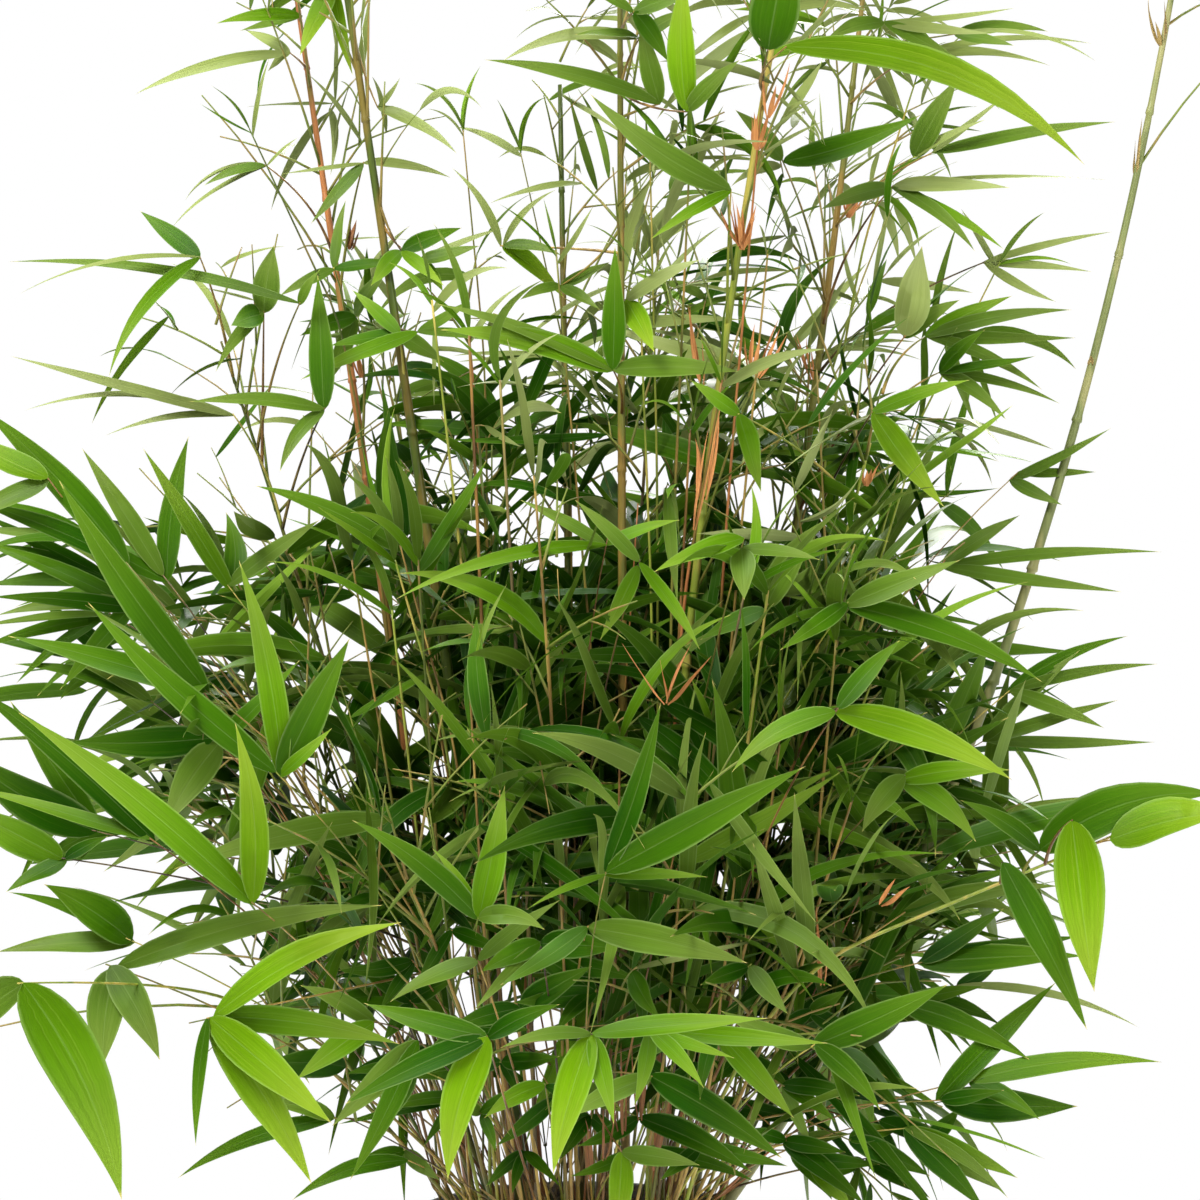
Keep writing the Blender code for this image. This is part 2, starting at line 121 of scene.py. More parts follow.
LEADERS = (
    Cane("tall_left", (-0.03, -0.02), (-0.153, -0.04, 1.02), 0.0, 0.0, 0.0037, 0.8, 7, 0.9, 11, "green",
        0.45),
    Cane("tall_red", (-0.066, 0.004), (-0.186, 0.05, 0.99), 0.0, 0.0, 0.0032, 0.74, 8, 0.9, 12, "red", 0.6),
    Cane("tall_centre", (0.028, -0.03), (0.024, -0.08, 0.985), 0.004, 0.0, 0.0031, 0.62, 9, 0.9, 13,
        "olive", 0.7),
    Cane("tall_front", (0.043, -0.05), (0.122, -0.1, 0.945), -0.018, 0.0, 0.0031, 0.56, 9, 0.9, 14, "lime",
        0.8),
    Cane("tall_right", (0.07, 0.03), (0.184, 0.06, 0.985), 0.006, 0.0, 0.0033, 0.56, 9, 0.9, 15, "olive",
        0.85),
    Cane("tall_far_right", (0.084, 0.002), (0.374, 0.0, 0.99), 0.03, -0.06, 0.0038, 0.93, 4, 0.65, 16,
        "sage", 0.18),
    Cane("tall_back", (0.002, 0.052), (-0.015, 0.16, 0.95), 0.01, 0.0, 0.0032, 0.56, 9, 0.9, 17, "green",
        0.3),
    Cane("arch_left", (-0.052, -0.012), (-0.225, -0.03, 0.75), 0.01, 0.04, 0.0026, 0.56, 9, 0.95, 18,
        "green", 0.5),
    Cane("inner_left", (-0.022, 0.012), (-0.07, -0.02, 0.76), 0.0, 0.0, 0.0024, 0.36, 16, 0.9, 19, "red",
        1.0),
    Cane("inner_centre", (0.01, 0.008), (0.05, 0.05, 0.8), 0.0, 0.0, 0.0025, 0.36, 16, 0.9, 20, "purple",
        1.0),
    Cane("arch_right", (0.05, -0.018), (0.185, -0.075, 0.715), 0.01, 0.03, 0.0026, 0.5, 9, 0.9, 21, "lime",
        0.9),
    Cane("back_left", (-0.04, 0.048), (-0.13, 0.16, 0.74), 0.01, 0.02, 0.0024, 0.5, 9, 0.95, 22, "olive",
        0.5),
    Cane("back_right", (0.048, 0.05), (0.15, 0.17, 0.73), 0.01, 0.02, 0.0024, 0.5, 9, 0.95, 23, "green",
        0.85),
)


class Ring(NamedTuple):
    """A ring of leaning canes spread evenly round the clump, every second one taller."""

    name: str
    count: int
    first_turn: float
    foot_radius: float
    reach: float
    rise: float
    taller: float
    bow: float
    arch: float
    leafy_from: float
    branches: int
    leafy: float


RINGS = (
    Ring("middle", 7, 12.0, 0.055, 0.220, 0.360, 0.080, 0.000, 0.030, 0.40, 10, 0.85),
    Ring("low", 8, 34.0, 0.078, 0.225, 0.160, 0.090, 0.010, 0.030, 0.36, 9, 0.70),
)
RING_SEED = 40
RING_SKINS = ("olive", "straw", "brown", "green")
TURN_SWAY = 9.0  # degrees
SIZE_SWAY = 0.08
RING_LEAF_SIZE = 0.95
RING_DRIFT = -0.025


def ring_canes():
    """The canes of the rings, each strayed a little in turn, reach and rise by its seed."""
    made = []
    for r, ring in enumerate(RINGS):
        for k in range(ring.count):
            seed = RING_SEED * (r + 1) + k
            stray = np.random.default_rng(seed).uniform(-1, 1, 3)
            turn = math.radians(ring.first_turn + 360 * k / ring.count + TURN_SWAY * stray[0])
            reach = ring.reach * (1 + SIZE_SWAY * stray[1])
            rise = ring.rise * (1 + SIZE_SWAY * stray[2]) + ring.taller * (k % 2)
            way = np.array([math.cos(turn), math.sin(turn)])
            foot = tuple(way * ring.foot_radius)
            top = (way[0] * reach + RING_DRIFT, way[1] * reach, SOIL_LEVEL + rise)
            skin = RING_SKINS[k % len(RING_SKINS)]
            made.append(
                Cane(
                    f"{ring.name}_{k + 1}", foot, top, ring.bow, ring.arch, BODY_RADIUS,
                    ring.leafy_from, ring.branches, RING_LEAF_SIZE, seed, skin, ring.leafy,
                )
            )
    return made


CANES = (*LEADERS, *ring_canes())
CANE_NAMED = {cane.name: cane for cane in CANES}


def cane_points(cane, shares):
    """Foot + run s + (outward bow + up arch) 4 s (1 - s), for an array of shares s of the path."""
    foot = np.array([*cane.foot, SOIL_LEVEL + GAP + COLLAR])
    run = np.array(cane.top) - foot
    outward = run * (1, 1, 0) / np.linalg.norm(run[:2])
    s = np.asarray(shares)[..., None]
    return foot + run * s + (outward * cane.bow + UP * cane.arch) * 4 * s * (1 - s)


def cane_point(cane, share):
    """The one point at a share of a cane's path."""
    return cane_points(cane, np.array([share]))[0]


def cane_ways(cane, shares, step=0.001):
    """The path's unit directions, from points a step to either side."""
    return unit(cane_points(cane, shares + step) - cane_points(cane, shares - step))


# ================================================================ vectors and closed forms


def unit(vectors):
    """Vectors divided by their lengths."""
    return vectors / np.linalg.norm(vectors, axis=-1, keepdims=True)


def evenly(steps):
    """Turns in radians spread evenly round a circle."""
    return 2 * np.pi * np.arange(steps) / steps


def bent(first, middle, last, s):
    """(1 - s)^2 first + 2 s (1 - s) middle + s^2 last: from first to last, drawn towards middle."""
    return (1 - s) ** 2 * first + 2 * s * (1 - s) * middle + s**2 * last


def on_circle(turn, first, second):
    """cos turn first + sin turn second, for an array of turns and rows of two directions."""
    return np.cos(turn)[..., None] * first + np.sin(turn)[..., None] * second


def across(ways):
    """For unit directions: a level direction square to each, and the upward one square to both."""
    level = unit(np.cross(ways, UP) + (1e-9, 0.0, 0.0))
    return level, np.cross(level, ways)


def closed_forms(rings, first, last):
    """Vertices, quads and triangles of n closed forms.

    rings is (n, R, K, 3): R loops of K points, counter-clockwise about the way from the pole
    first to the pole last. Quads join neighbouring loops and triangles fan to the poles.
    """
    n, r, k, _ = rings.shape
    vertices = np.concatenate([rings.reshape(n, r * k, 3), first[:, None], last[:, None]], axis=1)
    base = (np.arange(n) * (r * k + 2))[:, None, None]
    i = np.arange(k)
    j = (i + 1) % k
    low = (np.arange(r - 1) * k)[:, None]
    quads = np.stack([low + i, low + j, low + k + j, low + k + i], axis=-1)
    # The second half of each loop starts a corner later, so that the two sides of a thin form
    # split along matching diagonals and never cross
    quads[:, i >= k // 2] = np.roll(quads[:, i >= k // 2], -1, axis=-1)
    quads = quads.reshape(-1, 4)
    end = (r - 1) * k
    start_fan = np.stack([np.full(k, r * k), j, i], axis=-1)
    end_fan = np.stack([np.full(k, r * k + 1), end + i, end + j], axis=-1)
    fans = np.concatenate([start_fan, end_fan])
    return vertices.reshape(-1, 3), (base + quads).reshape(-1, 4), (base + fans).reshape(-1, 3)


def add_piece(name, forms, materials, nodes=(), faces_of=None, blade_map=None, sharp=None):
    """A mesh object from closed forms. faces_of gives each quad's and triangle's material."""
    vertices, quads, triangles = forms
    mesh = bpy.data.meshes.new(name)
    mesh.vertices.add(len(vertices))
    mesh.vertices.foreach_set("co", vertices.astype(np.float32).ravel())
    corners = np.concatenate([quads.ravel(), triangles.ravel()]).astype(np.int32)
    starts = np.concatenate([4 * np.arange(len(quads)), 4 * len(quads) + 3 * np.arange(len(triangles))])
    mesh.loops.add(len(corners))
    mesh.polygons.add(len(starts))
    mesh.polygons.foreach_set("loop_start", starts.astype(np.int32))
    mesh.polygons.foreach_set("vertices", corners)
    for material in materials:
        mesh.materials.append(material)
    if faces_of is not None:
        mesh.polygons.foreach_set("material_index", np.concatenate(faces_of).astype(np.int32))
    if blade_map is not None:
        layer = mesh.uv_layers.new(name="blade")
        layer.uv.foreach_set("vector", blade_map[corners].astype(np.float32).ravel())
    mesh.update(calc_edges=True)
    mesh.shade_smooth()
    if sharp is not None:
        mesh.set_sharp_from_angle(angle=math.radians(sharp))
    piece = bpy.data.objects.new(name, mesh)
    bpy.context.scene.collection.objects.link(piece)
    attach(piece, "root")
    if nodes:
        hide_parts(*nodes)
    return piece


def join_forms(parts):
    """Several sets of closed forms as one."""
    shifts = np.cumsum([0] + [len(vertices) for vertices, _, _ in parts[:-1]])
    vertices = np.concatenate([part[0] for part in parts])
    quads = np.concatenate([part[1] + shift for part, shift in zip(parts, shifts)])
    triangles = np.concatenate([part[2] + shift for part, shift in zip(parts, shifts)])
    return vertices, quads, triangles


UPRIGHT = 0.8  # a tube that rises more steeply than this takes its sides from X instead of Z


def tubes(paths, radii, sides):
    """Round tubes along n paths (n, R, 3) with radii (n, R): centre + r (cos a A + sin a B)."""
    ways = unit(np.gradient(paths, axis=1))
    upright = np.abs(ways[..., 2].mean(axis=1)) > UPRIGHT
    reference = np.where(upright[:, None], (1.0, 0.0, 0.0), UP)[:, None]
    side = unit(np.cross(ways, reference))
    other = np.cross(ways, side)
    spoke = on_circle(evenly(sides), side[:, :, None], other[:, :, None])
    rings = paths[:, :, None] + radii[..., None, None] * spoke
    return closed_forms(rings, paths[:, 0], paths[:, -1])


# ================================================================ twigs

GOLDEN_ANGLE = math.radians(137.5)
BRANCH_LENGTH = 0.105
BRANCH_RADIUS = 0.0010
BRANCH_SAG = 0.16
BRANCH_SHORTENING = 0.40
SPREAD_LOW = 62.0  # degrees
SPREAD_HIGH = 32.0
SPREAD_STRAY = 8.0
BRANCH_STRAY = 0.3
LENGTH_STRAY = 0.2

TWIG_SPREAD = 40.0
TWIG_STRAY = 14.0
TWIG_LENGTH = 0.60  # of the branch's length
TWIG_RADIUS = 0.0007
FACE_UP = 0.85  # how far a spray turns its leaves' faces up, outwards and at random
FACE_OUT = 0.38
FACE_STRAY = 0.52

STEEP_SHARE = 0.9  # thin steep branchlets for each main branch
STEEP_LAST = 0.95  # the share of the cane that they reach up to, before they are lowered
STEEP_LOWERED = 0.08
STEEP_SPREADS = (9, 34)
STEEP_LENGTHS = (0.8, 1.9)
TIP_FROM = 0.92  # the share of a cane from which its tip bears leaves
TWIG_STARTS = (0.3, 0.65)
TWIG_TUMBLE = 1.1  # radians
TWIG_LENGTHS = (0.7, 1.3)
TWIG_TAPER = 0.55
TWIG_RINGS = 5


class Twigs(NamedTuple):
    """Curved twigs: start + length (way s - up sag s^2), one row of each array a twig."""

    start: np.ndarray
    way: np.ndarray
    length: np.ndarray
    sag: np.ndarray
    size: np.ndarray
    keep: np.ndarray

    def at(self, shares):
        """Points and unit directions at a share of every twig."""
        s = np.broadcast_to(shares, self.length.shape)[:, None]
        length = self.length[:, None]
        sag = self.sag[:, None]
        points = self.start + length * (self.way * s - UP * sag * s**2)
        return points, unit(self.way - UP * 2 * sag * s)

    def taken(self, chosen):
        """The chosen twigs alone."""
        return Twigs(*(column[chosen] for column in self))


def stack(records):
    """Several records of arrays, of one kind, as one."""
    return type(records[0])(*(np.concatenate(columns) for columns in zip(*records)))


def branches(cane):
    """A cane's branches: golden-angle turns, leaning in and shortening up the stem."""
    rng = np.random.default_rng(cane.seed)
    k = np.arange(cane.branches)
    up_stem = (k + 0.5 + BRANCH_STRAY * rng.uniform(-1, 1, cane.branches)) / cane.branches
    share = cane.leafy_from + (1 - cane.leafy_from) * up_stem
    turn = rng.uniform(0, 2 * math.pi) + k * GOLDEN_ANGLE
    spread = SPREAD_LOW + (SPREAD_HIGH - SPREAD_LOW) * up_stem
    spread = np.radians(spread + SPREAD_STRAY * rng.uniform(-1, 1, cane.branches))
    length = cane.size * BRANCH_LENGTH * (1 - BRANCH_SHORTENING * up_stem)
    length = length * (1 + LENGTH_STRAY * rng.uniform(-1, 1, cane.branches))
    return leaving(cane, share, turn, spread, length)


def leaving(cane, share, turn, spread, length):
    """Twigs that leave a cane's stem at these shares, turns about it and spreads from it."""
    way = cane_ways(cane, share)
    out = on_circle(spread, way, on_circle(turn, *across(way)))
    full = np.ones(len(share))
    return Twigs(
        cane_points(cane, share), out, length, BRANCH_SAG * full, cane.size * full, cane.leafy * full
    )


def between(cane):
    """Thin steep branchlets between the main ones."""
    rng = np.random.default_rng([cane.seed, 2])
    count = max(3, round(STEEP_SHARE * cane.branches))
    up_stem = (np.arange(count) + rng.uniform(0.1, 0.9, count)) / count
    share = cane.leafy_from + (STEEP_LAST - cane.leafy_from) * up_stem - STEEP_LOWERED
    turn = rng.uniform(0, 2 * math.pi, count)
    spread = np.radians(rng.uniform(*STEEP_SPREADS, count))
    length = cane.size * BRANCH_LENGTH * rng.uniform(*STEEP_LENGTHS, count)
    return leaving(cane, share, turn, spread, length)


def stem_tip(cane):
    """The last stretch of a cane's stem, as a twig that bears leaves."""
    start, end = cane_points(cane, np.array([TIP_FROM, 1.0]))
    run = end - start
    length = np.linalg.norm(run)
    return Twigs(
        start[None], (run / length)[None], np.array([length]), np.zeros(1),
        np.array([cane.size]), np.array([cane.leafy]),
    )


def finer(parents, seed):
    """A side twig on each parent, left or right of it, a little tumbled."""
    rng = np.random.default_rng(seed)
    count = len(parents.length)
    start, way = parents.at(rng.uniform(*TWIG_STARTS, count))
    tumble = rng.uniform(-TWIG_TUMBLE, TWIG_TUMBLE, count)
    hand = np.where(rng.uniform(0, 1, count) < 0.5, -1, 1)[:, None]
    radial = on_circle(tumble, *across(way)) * hand
    spread = np.radians(TWIG_SPREAD + TWIG_STRAY * rng.uniform(-1, 1, count))
    out = on_circle(spread, way, radial)
    length = TWIG_LENGTH * parents.length * rng.uniform(*TWIG_LENGTHS, count)
    return Twigs(start, out, length, parents.sag, parents.size, parents.keep)


def twig_forms(twigs, radius, sides=5):
    """Tapering tubes: radius times 1 - 0.55 s."""
    shares = np.linspace(0, 1, TWIG_RINGS)
    paths = np.stack([twigs.at(share)[0] for share in shares], axis=1)
    radii = radius * (1 - TWIG_TAPER * shares) * np.ones((len(paths), 1))
    return tubes(paths, radii, sides)


# ================================================================ leaves

LEAF_LENGTH = 0.128
LEAF_WIDTH = 0.0152
LEAF_THICKNESS = 0.0004
LEAF_STALK = 0.00045
LEAF_SPACING = 0.10
RIPPLE = 0.13
MAP_ROWS = 16  # of the map, which the blades take by turns
MAP_SHARE = 0.99  # of a row of the map that a blade fills
FAN_FIRST = 30.0
FAN_STEP = 12.0
FAN_STRAY = 14.0
BLADE_ROWS = np.array([0.0, 0.03, 0.08, 0.15, 0.23, 0.32, 0.42, 0.52, 0.62, 0.71, 0.80, 0.87, 0.93, 0.97])
BLADE_SIDES = 4
LOWEST_LEAF = 0.166
SMALL_FROM, SMALL_TO, SMALLEST = 0.52, 0.84, 0.52  # heights between which leaves get smaller
LIFT, LIFT_STRAY = 2, 13  # degrees by which a blade lifts off its hand
LENGTHS = (0.62, 1.25)
DROOPS = (5, 40)  # degrees
LIMP_DROOP, LIMP_SHARE = 36, 0.22  # how much further some leaves hang, and how many of them do
ROLL_STRAY = 0.4
WIDTHS, WIDTH_POWER = (0.46, 1.2), 1.25
FOLDS = (0.05, 0.45)
TWIST_STRAY = 0.35
BOW_STRAY = 0.04
WIDEST_LOW, WIDEST_HIGH = 0.6, 1.2  # powers of a blade's outline
MIDRIB_POINTS = 41
DROOP_POWER = 1.2
STEEPEST_FALL = -1.45  # a drooping blade's slope stops here, in radians
STALK_SHARE = 0.05  # of the length, under which a blade is a round stalk
THINNING = 0.6  # how much thinner a blade is at its tip


class Leaves(NamedTuple):
    """Blades, one row of each array a leaf. roll turns a blade about its length."""

    root: np.ndarray
    way: np.ndarray
    roll: np.ndarray
    length: np.ndarray
    width: np.ndarray
    droop: np.ndarray
    fold: np.ndarray
    twist: np.ndarray
    bow: np.ndarray
    spray: np.ndarray
    keep: np.ndarray

    def taken(self, chosen):
        """The chosen leaves alone."""
        return Leaves(*(column[chosen] for column in self))


def eased(values, low, high):
    """0 below low, 1 above high, and 3 t^2 - 2 t^3 between."""
    t = np.clip((values - low) / (high - low), 0, 1)
    return t * t * (3 - 2 * t)


def roll_to_face(way, face):
    """The roll at which a blade along way turns its upper side to face."""
    level, upward = across(way)
    side = np.cross(way, face)
    return np.arctan2((side * upward).sum(-1), (side * level).sum(-1))


def leaves_on(twigs, count, length, seed, first_spray):
    """Leaves from each twig's end inwards: one ahead, then left and right by turns.

    They spread like a hand whose back looks up and outwards from the plant's middle.
    """
    rng = np.random.default_rng(seed)
    n = len(twigs.length)
    end, _ = twigs.at(1.0)
    outward = unit(end * (1, 1, 0) + 1e-6)
    back = unit(FACE_UP * UP + FACE_OUT * outward + FACE_STRAY * rng.normal(0, 1, (n, 3)))
    smaller = 1 - (1 - SMALLEST) * eased(end[:, 2], SMALL_FROM, SMALL_TO)
    made = []
    for j in range(count):
        root, way = twigs.at(1 - LEAF_SPACING * j)
        side = unit(np.cross(way, back))
        face = np.cross(side, way)
        fan = 0.0 if j == 0 else (-1) ** j * (FAN_FIRST + FAN_STEP * (j - 1))
        fan = np.radians(fan + FAN_STRAY * rng.uniform(-1, 1, n))
        lift = np.radians(rng.normal(LIFT, LIFT_STRAY, n))[:, None]
        out = unit(on_circle(fan, way, side) + np.sin(lift) * face)
        size = length * smaller * rng.uniform(*LENGTHS, n)
        droop = rng.uniform(*DROOPS, n) + LIMP_DROOP * (rng.uniform(0, 1, n) < LIMP_SHARE)
        made.append(
            Leaves(
                root, out, roll_to_face(out, face) + rng.normal(0, ROLL_STRAY, n), size,
                LEAF_WIDTH * (size / LEAF_LENGTH) ** WIDTH_POWER * rng.uniform(*WIDTHS, n),
                np.radians(droop), rng.uniform(*FOLDS, n), rng.normal(0, TWIST_STRAY, n),
                rng.normal(0, BOW_STRAY, n), first_spray + np.arange(n), twigs.keep,
            )
        )
    return stack(made)


def blade_outline(s):
    """Half width from 0 to 1 at a share of the length: s^0.6 (1 - s)^1.2, 1 at its widest."""
    a, b = WIDEST_LOW, WIDEST_HIGH
    peak = (a / (a + b)) ** a * (b / (a + b)) ** b
    return s**a * (1 - s) ** b / peak


def blade_line(leaves, rows):
    """The midribs. The way's slope falls by droop s^1.2, always about the same level axis.

    A midrib also bows sideways by its length times bow times 4 s (1 - s).
    """
    fine = np.linspace(0, 1, MIDRIB_POINTS)
    middle = 0.5 * (fine[1:] + fine[:-1])
    level = unit(leaves.way * (1, 1, 0) + (1e-6, 0, 0))
    slope = np.arcsin(np.clip(leaves.way[:, 2], -1, 1))[:, None]
    slope = slope - leaves.droop[:, None] * middle**DROOP_POWER
    slope = np.maximum(slope, np.minimum(slope[:, :1], STEEPEST_FALL))
    steps = np.cos(slope)[..., None] * level[:, None] + np.sin(slope)[..., None] * UP
    steps = steps * leaves.length[:, None, None] / len(middle)
    whole = np.concatenate([np.zeros((len(steps), 1, 3)), np.cumsum(steps, axis=1)], axis=1)
    places = np.searchsorted(fine, rows, side="right") - 1
    places = np.clip(places, 0, len(middle) - 1)
    part = ((rows - fine[places]) * len(middle))[None, :, None]
    points = leaves.root[:, None] + whole[:, places] + part * (whole[:, places + 1] - whole[:, places])
    level, upward = across(leaves.way)
    roll = leaves.roll[:, None]
    side = np.cos(roll) * level + np.sin(roll) * upward
    bow = (leaves.bow * leaves.length)[:, None] * 4 * rows * (1 - rows)
    return points + bow[..., None] * side[:, None], unit(steps[:, places])


def leaf_forms(leaves):
    """Blades with their map (across, row + along), each blade in one of the map's rows.

    Each loop is x = w cos a, y = fold |x| - thickness sin a in the plane of side and face, so
    the blade is a thin lens folded up along its midrib. roll + twist s turns side about it, with
    a ripple of 0.13 sin (8 s + 7 roll), and the fold swells by half of sin (6 s + 9 roll).
    """
    points, ways = blade_line(leaves, BLADE_ROWS)
    level, upward = across(ways)
    own = leaves.roll[:, None, None]
    rows = BLADE_ROWS[:, None]
    roll = own + leaves.twist[:, None, None] * rows + RIPPLE * np.sin(8 * rows + 7 * own) * rows
    side = on_circle(roll[..., 0], level, upward)
    face = np.cross(side, ways)
    half = 0.5 * leaves.width[:, None] * blade_outline(BLADE_ROWS)
    half = np.maximum(half, LEAF_STALK * (1 - BLADE_ROWS))
    thick = np.where(BLADE_ROWS < STALK_SHARE, LEAF_STALK, 0.5 * LEAF_THICKNESS)
    thick = thick * (1 - THINNING * BLADE_ROWS)
    turn = evenly(BLADE_SIDES)
    x = half[..., None] * np.cos(turn)
    fold = leaves.fold[:, None, None] * np.clip(rows * 8, 0, 1) * (1 + 0.5 * np.sin(6 * rows + 9 * own))
    y = fold * np.abs(x) - thick[:, None] * np.sin(turn)
    rings = points[:, :, None] + x[..., None] * side[:, :, None] + y[..., None] * face[:, :, None]
    tips, _ = blade_line(leaves, np.array([1.0]))
    forms = closed_forms(rings, leaves.root, tips[:, 0])
    across_map = np.tile(0.5 + 0.5 * np.cos(turn), (len(BLADE_ROWS), 1))
    along_map = np.tile(BLADE_ROWS[:, None], (1, BLADE_SIDES))
    one = np.concatenate([np.stack([across_map, along_map], -1).reshape(-1, 2), [(0.5, 0.0), (0.5, 1.0)]])
    count = len(leaves.length)
    blade_map = np.tile(one * (1, MAP_SHARE), (count, 1, 1))
    blade_map[..., 1] += (7 * np.arange(count) % MAP_ROWS)[:, None]
    return forms, blade_map.reshape(-1, 2)


def underside_faces(count):
    """0 for a blade's upper faces and 1 for those below, for each quad and triangle."""
    below = (np.arange(BLADE_SIDES) < BLADE_SIDES // 2).astype(int)
    quads = np.tile(below, (len(BLADE_ROWS) - 1) * count)
    triangles = np.tile(np.tile(below, 2), count)
    return quads, triangles


def distances(points, low, high):
    """Distance from points (n, 3) to straight pieces from low to high (m, 3)."""
    run = high - low
    away = points[:, None] - low
    share = np.clip((away * run).sum(-1) / (run * run).sum(-1), 0, 1)
    return np.linalg.norm(away - share[..., None] * run, axis=-1)


REACH_MARGIN = 0.008
RIM_SIDE, RIM_OVER = 0.004, 0.006  # how far the leaves keep from the pot's rim
CANE_MARGIN = 0.0015
TALL_CANES = CANES[:7]


def fitting(leaves):
    """Which leaves stay in the crown's reach, over the soil, and clear of the pot and tall canes."""
    samples = np.array([0.12, 0.3, 0.5, 0.7, 0.9, 1.0])
    points, _ = blade_line(leaves, samples)
    inside = ((points > cad_low - REACH_MARGIN) & (points < cad_high + REACH_MARGIN)).all((1, 2))
    inside &= (points[..., 2] > LOWEST_LEAF).all(1)
    radial = np.linalg.norm(points[..., :2], axis=-1)
    inside &= ~((radial < pot_high[0] + RIM_SIDE) & (points[..., 2] < pot_high[2] + RIM_OVER)).any(1)
    for cane in TALL_CANES:
        path = cane_points(cane, np.linspace(0, 1, 14))
        gaps = distances(points.reshape(-1, 3), path[:-1], path[1:]).min(1)
        inside &= ~(gaps.reshape(len(points), -1) < cane.radius + CANE_MARGIN).any(1)
    return inside


def covering(leaves, front, front_width):
    """Which leaves stand before the front's own leaves and canes, and cover them.

    front (m, 2, 3) holds the straight pieces to keep in sight and front_width their width.
    """
    points, _ = blade_line(leaves, np.array([0.15, 0.35, 0.55, 0.75]))
    flat = shown(points).reshape(-1, 2)
    depth = points[..., 1].reshape(-1)
    low, high = shown(front)[:, 0], shown(front)[:, 1]
    gaps = distances(flat, low, high)
    middle = front[..., 1].mean(1)
    hit = (gaps < 0.5 * front_width + COVER_MARGIN) & (depth[:, None] < middle + COVER_DEPTH)
    return hit.any(1).reshape(len(points), -1).any(1)


# ================================================================ finishes


class Reading:
    """A number that varies over a surface. Arithmetic on it adds Math nodes."""

    def __init__(self, finish, socket):
        self.finish = finish
        self.socket = socket

    def maths(self, operation, first, second=0.0):
        """The outcome of one operation on two numbers or Readings."""
        made = self.finish.node("ShaderNodeMath", {"operation": operation}, {0: first, 1: second})
        return Reading(self.finish, made.outputs[0])

    def __add__(self, other):
        return self.maths("ADD", self, other)

    def __sub__(self, other):
        return self.maths("SUBTRACT", self, other)

    def __rsub__(self, other):
        return self.maths("SUBTRACT", other, self)

    def __mul__(self, other):
        return self.maths("MULTIPLY", self, other)

    def __pow__(self, other):
        return self.maths("POWER", self, other)

    def __abs__(self):
        return self.maths("ABSOLUTE", self)

    __radd__ = __add__
    __rmul__ = __mul__

    def fraction(self):
        """What is left over the whole number under it."""
        return self.maths("FRACT", self)

    def whole(self):
        """The whole number under it."""
        return self.maths("FLOOR", self)

    def eased(self, low, high):
        """0 below low and 1 above high, smoothly between; falling where low is the greater."""
        settings = {"interpolation_type": "SMOOTHSTEP", "clamp": True}
        made = self.finish.node("ShaderNodeMapRange", settings, {0: self, 1: low, 2: high, 3: 0.0, 4: 1.0})
        return Reading(self.finish, made.outputs[0])


class Finish:
    """One material: its nodes, and the Principled surface that they feed."""

    def __init__(self, name, roughness=0.5, **constants):
        self.material = bpy.data.materials.new(name)
        self.material.use_nodes = True
        self.tree = self.material.node_tree
        self.surface = self.tree.nodes["Principled BSDF"]
        self.output = self.tree.nodes["Material Output"]
        self.surface.inputs["Roughness"].default_value = roughness
        for socket, value in constants.items():
            self.surface.inputs[socket.replace("_", " ")].default_value = value

    def node(self, kind, settings=None, sockets=None):
        """A node of this kind: its settings first, then the values or links of its sockets."""
        made = self.tree.nodes.new(kind)
        for key, value in (settings or {}).items():
            setattr(made, key, value)
        for key, value in (sockets or {}).items():
            self.feed(made.inputs[key], value)
        return made

    def feed(self, socket, value):
        """Links a Reading or a socket, and sets anything else on the socket itself."""
        if isinstance(value, Reading):
            self.tree.links.new(value.socket, socket)
        elif isinstance(value, bpy.types.NodeSocket):
            self.tree.links.new(value, socket)
        elif isinstance(value, tuple) and len(value) == 3 and socket.type == "RGBA":
            socket.default_value = (*value, 1.0)
        else:
            socket.default_value = value

    def place(self, scale=(1.0, 1.0, 1.0), kind="Object"):
        """Object or UV coordinates, stretched by a scale."""
        where = self.node("ShaderNodeTexCoord")
        sockets = {"Vector": where.outputs[kind], "Scale": scale}
        return self.node("ShaderNodeMapping", None, sockets).outputs[0]

    def noise(self, vector, scale=1.0, detail=2.0, roughness=0.5):
        """Smooth noise about 0.5 at a scale of the coordinates."""
        sockets = {"Vector": vector, "Scale": scale, "Detail": detail, "Roughness": roughness}
        return Reading(self, self.node("ShaderNodeTexNoise", None, sockets).outputs["Fac"])

    def mix(self, factor, first, second):
        """One colour over another by a factor."""
        sockets = {0: factor, 6: first, 7: second}
        return self.node("ShaderNodeMix", {"data_type": "RGBA"}, sockets).outputs[2]

    def paint(self, colour):
        """Sets what the surface's own colour is."""
        self.feed(self.surface.inputs["Base Color"], colour)

    def bump(self, height, distance, strength):
        """Raises the surface by a height, and returns the normal for what else follows it."""
        sockets = {"Height": height, "Distance": distance, "Strength": strength}
        normal = self.node("ShaderNodeBump", None, sockets).outputs[0]
        self.feed(self.surface.inputs["Normal"], normal)
        return normal

    def cover(self, factor, shader):
        """Lays another shader over the surface by a factor."""
        sockets = {0: factor, 1: self.surface.outputs[0], 2: shader.outputs[0]}
        blend = self.node("ShaderNodeMixShader", None, sockets)
        self.tree.links.new(blend.outputs[0], self.output.inputs["Surface"])

    def glow_through(self, colour, share, normal):
        """Lets light through: a share of the surface is translucent."""
        sockets = {"Color": colour, "Normal": normal}
        self.cover(share, self.node("ShaderNodeBsdfTranslucent", None, sockets))


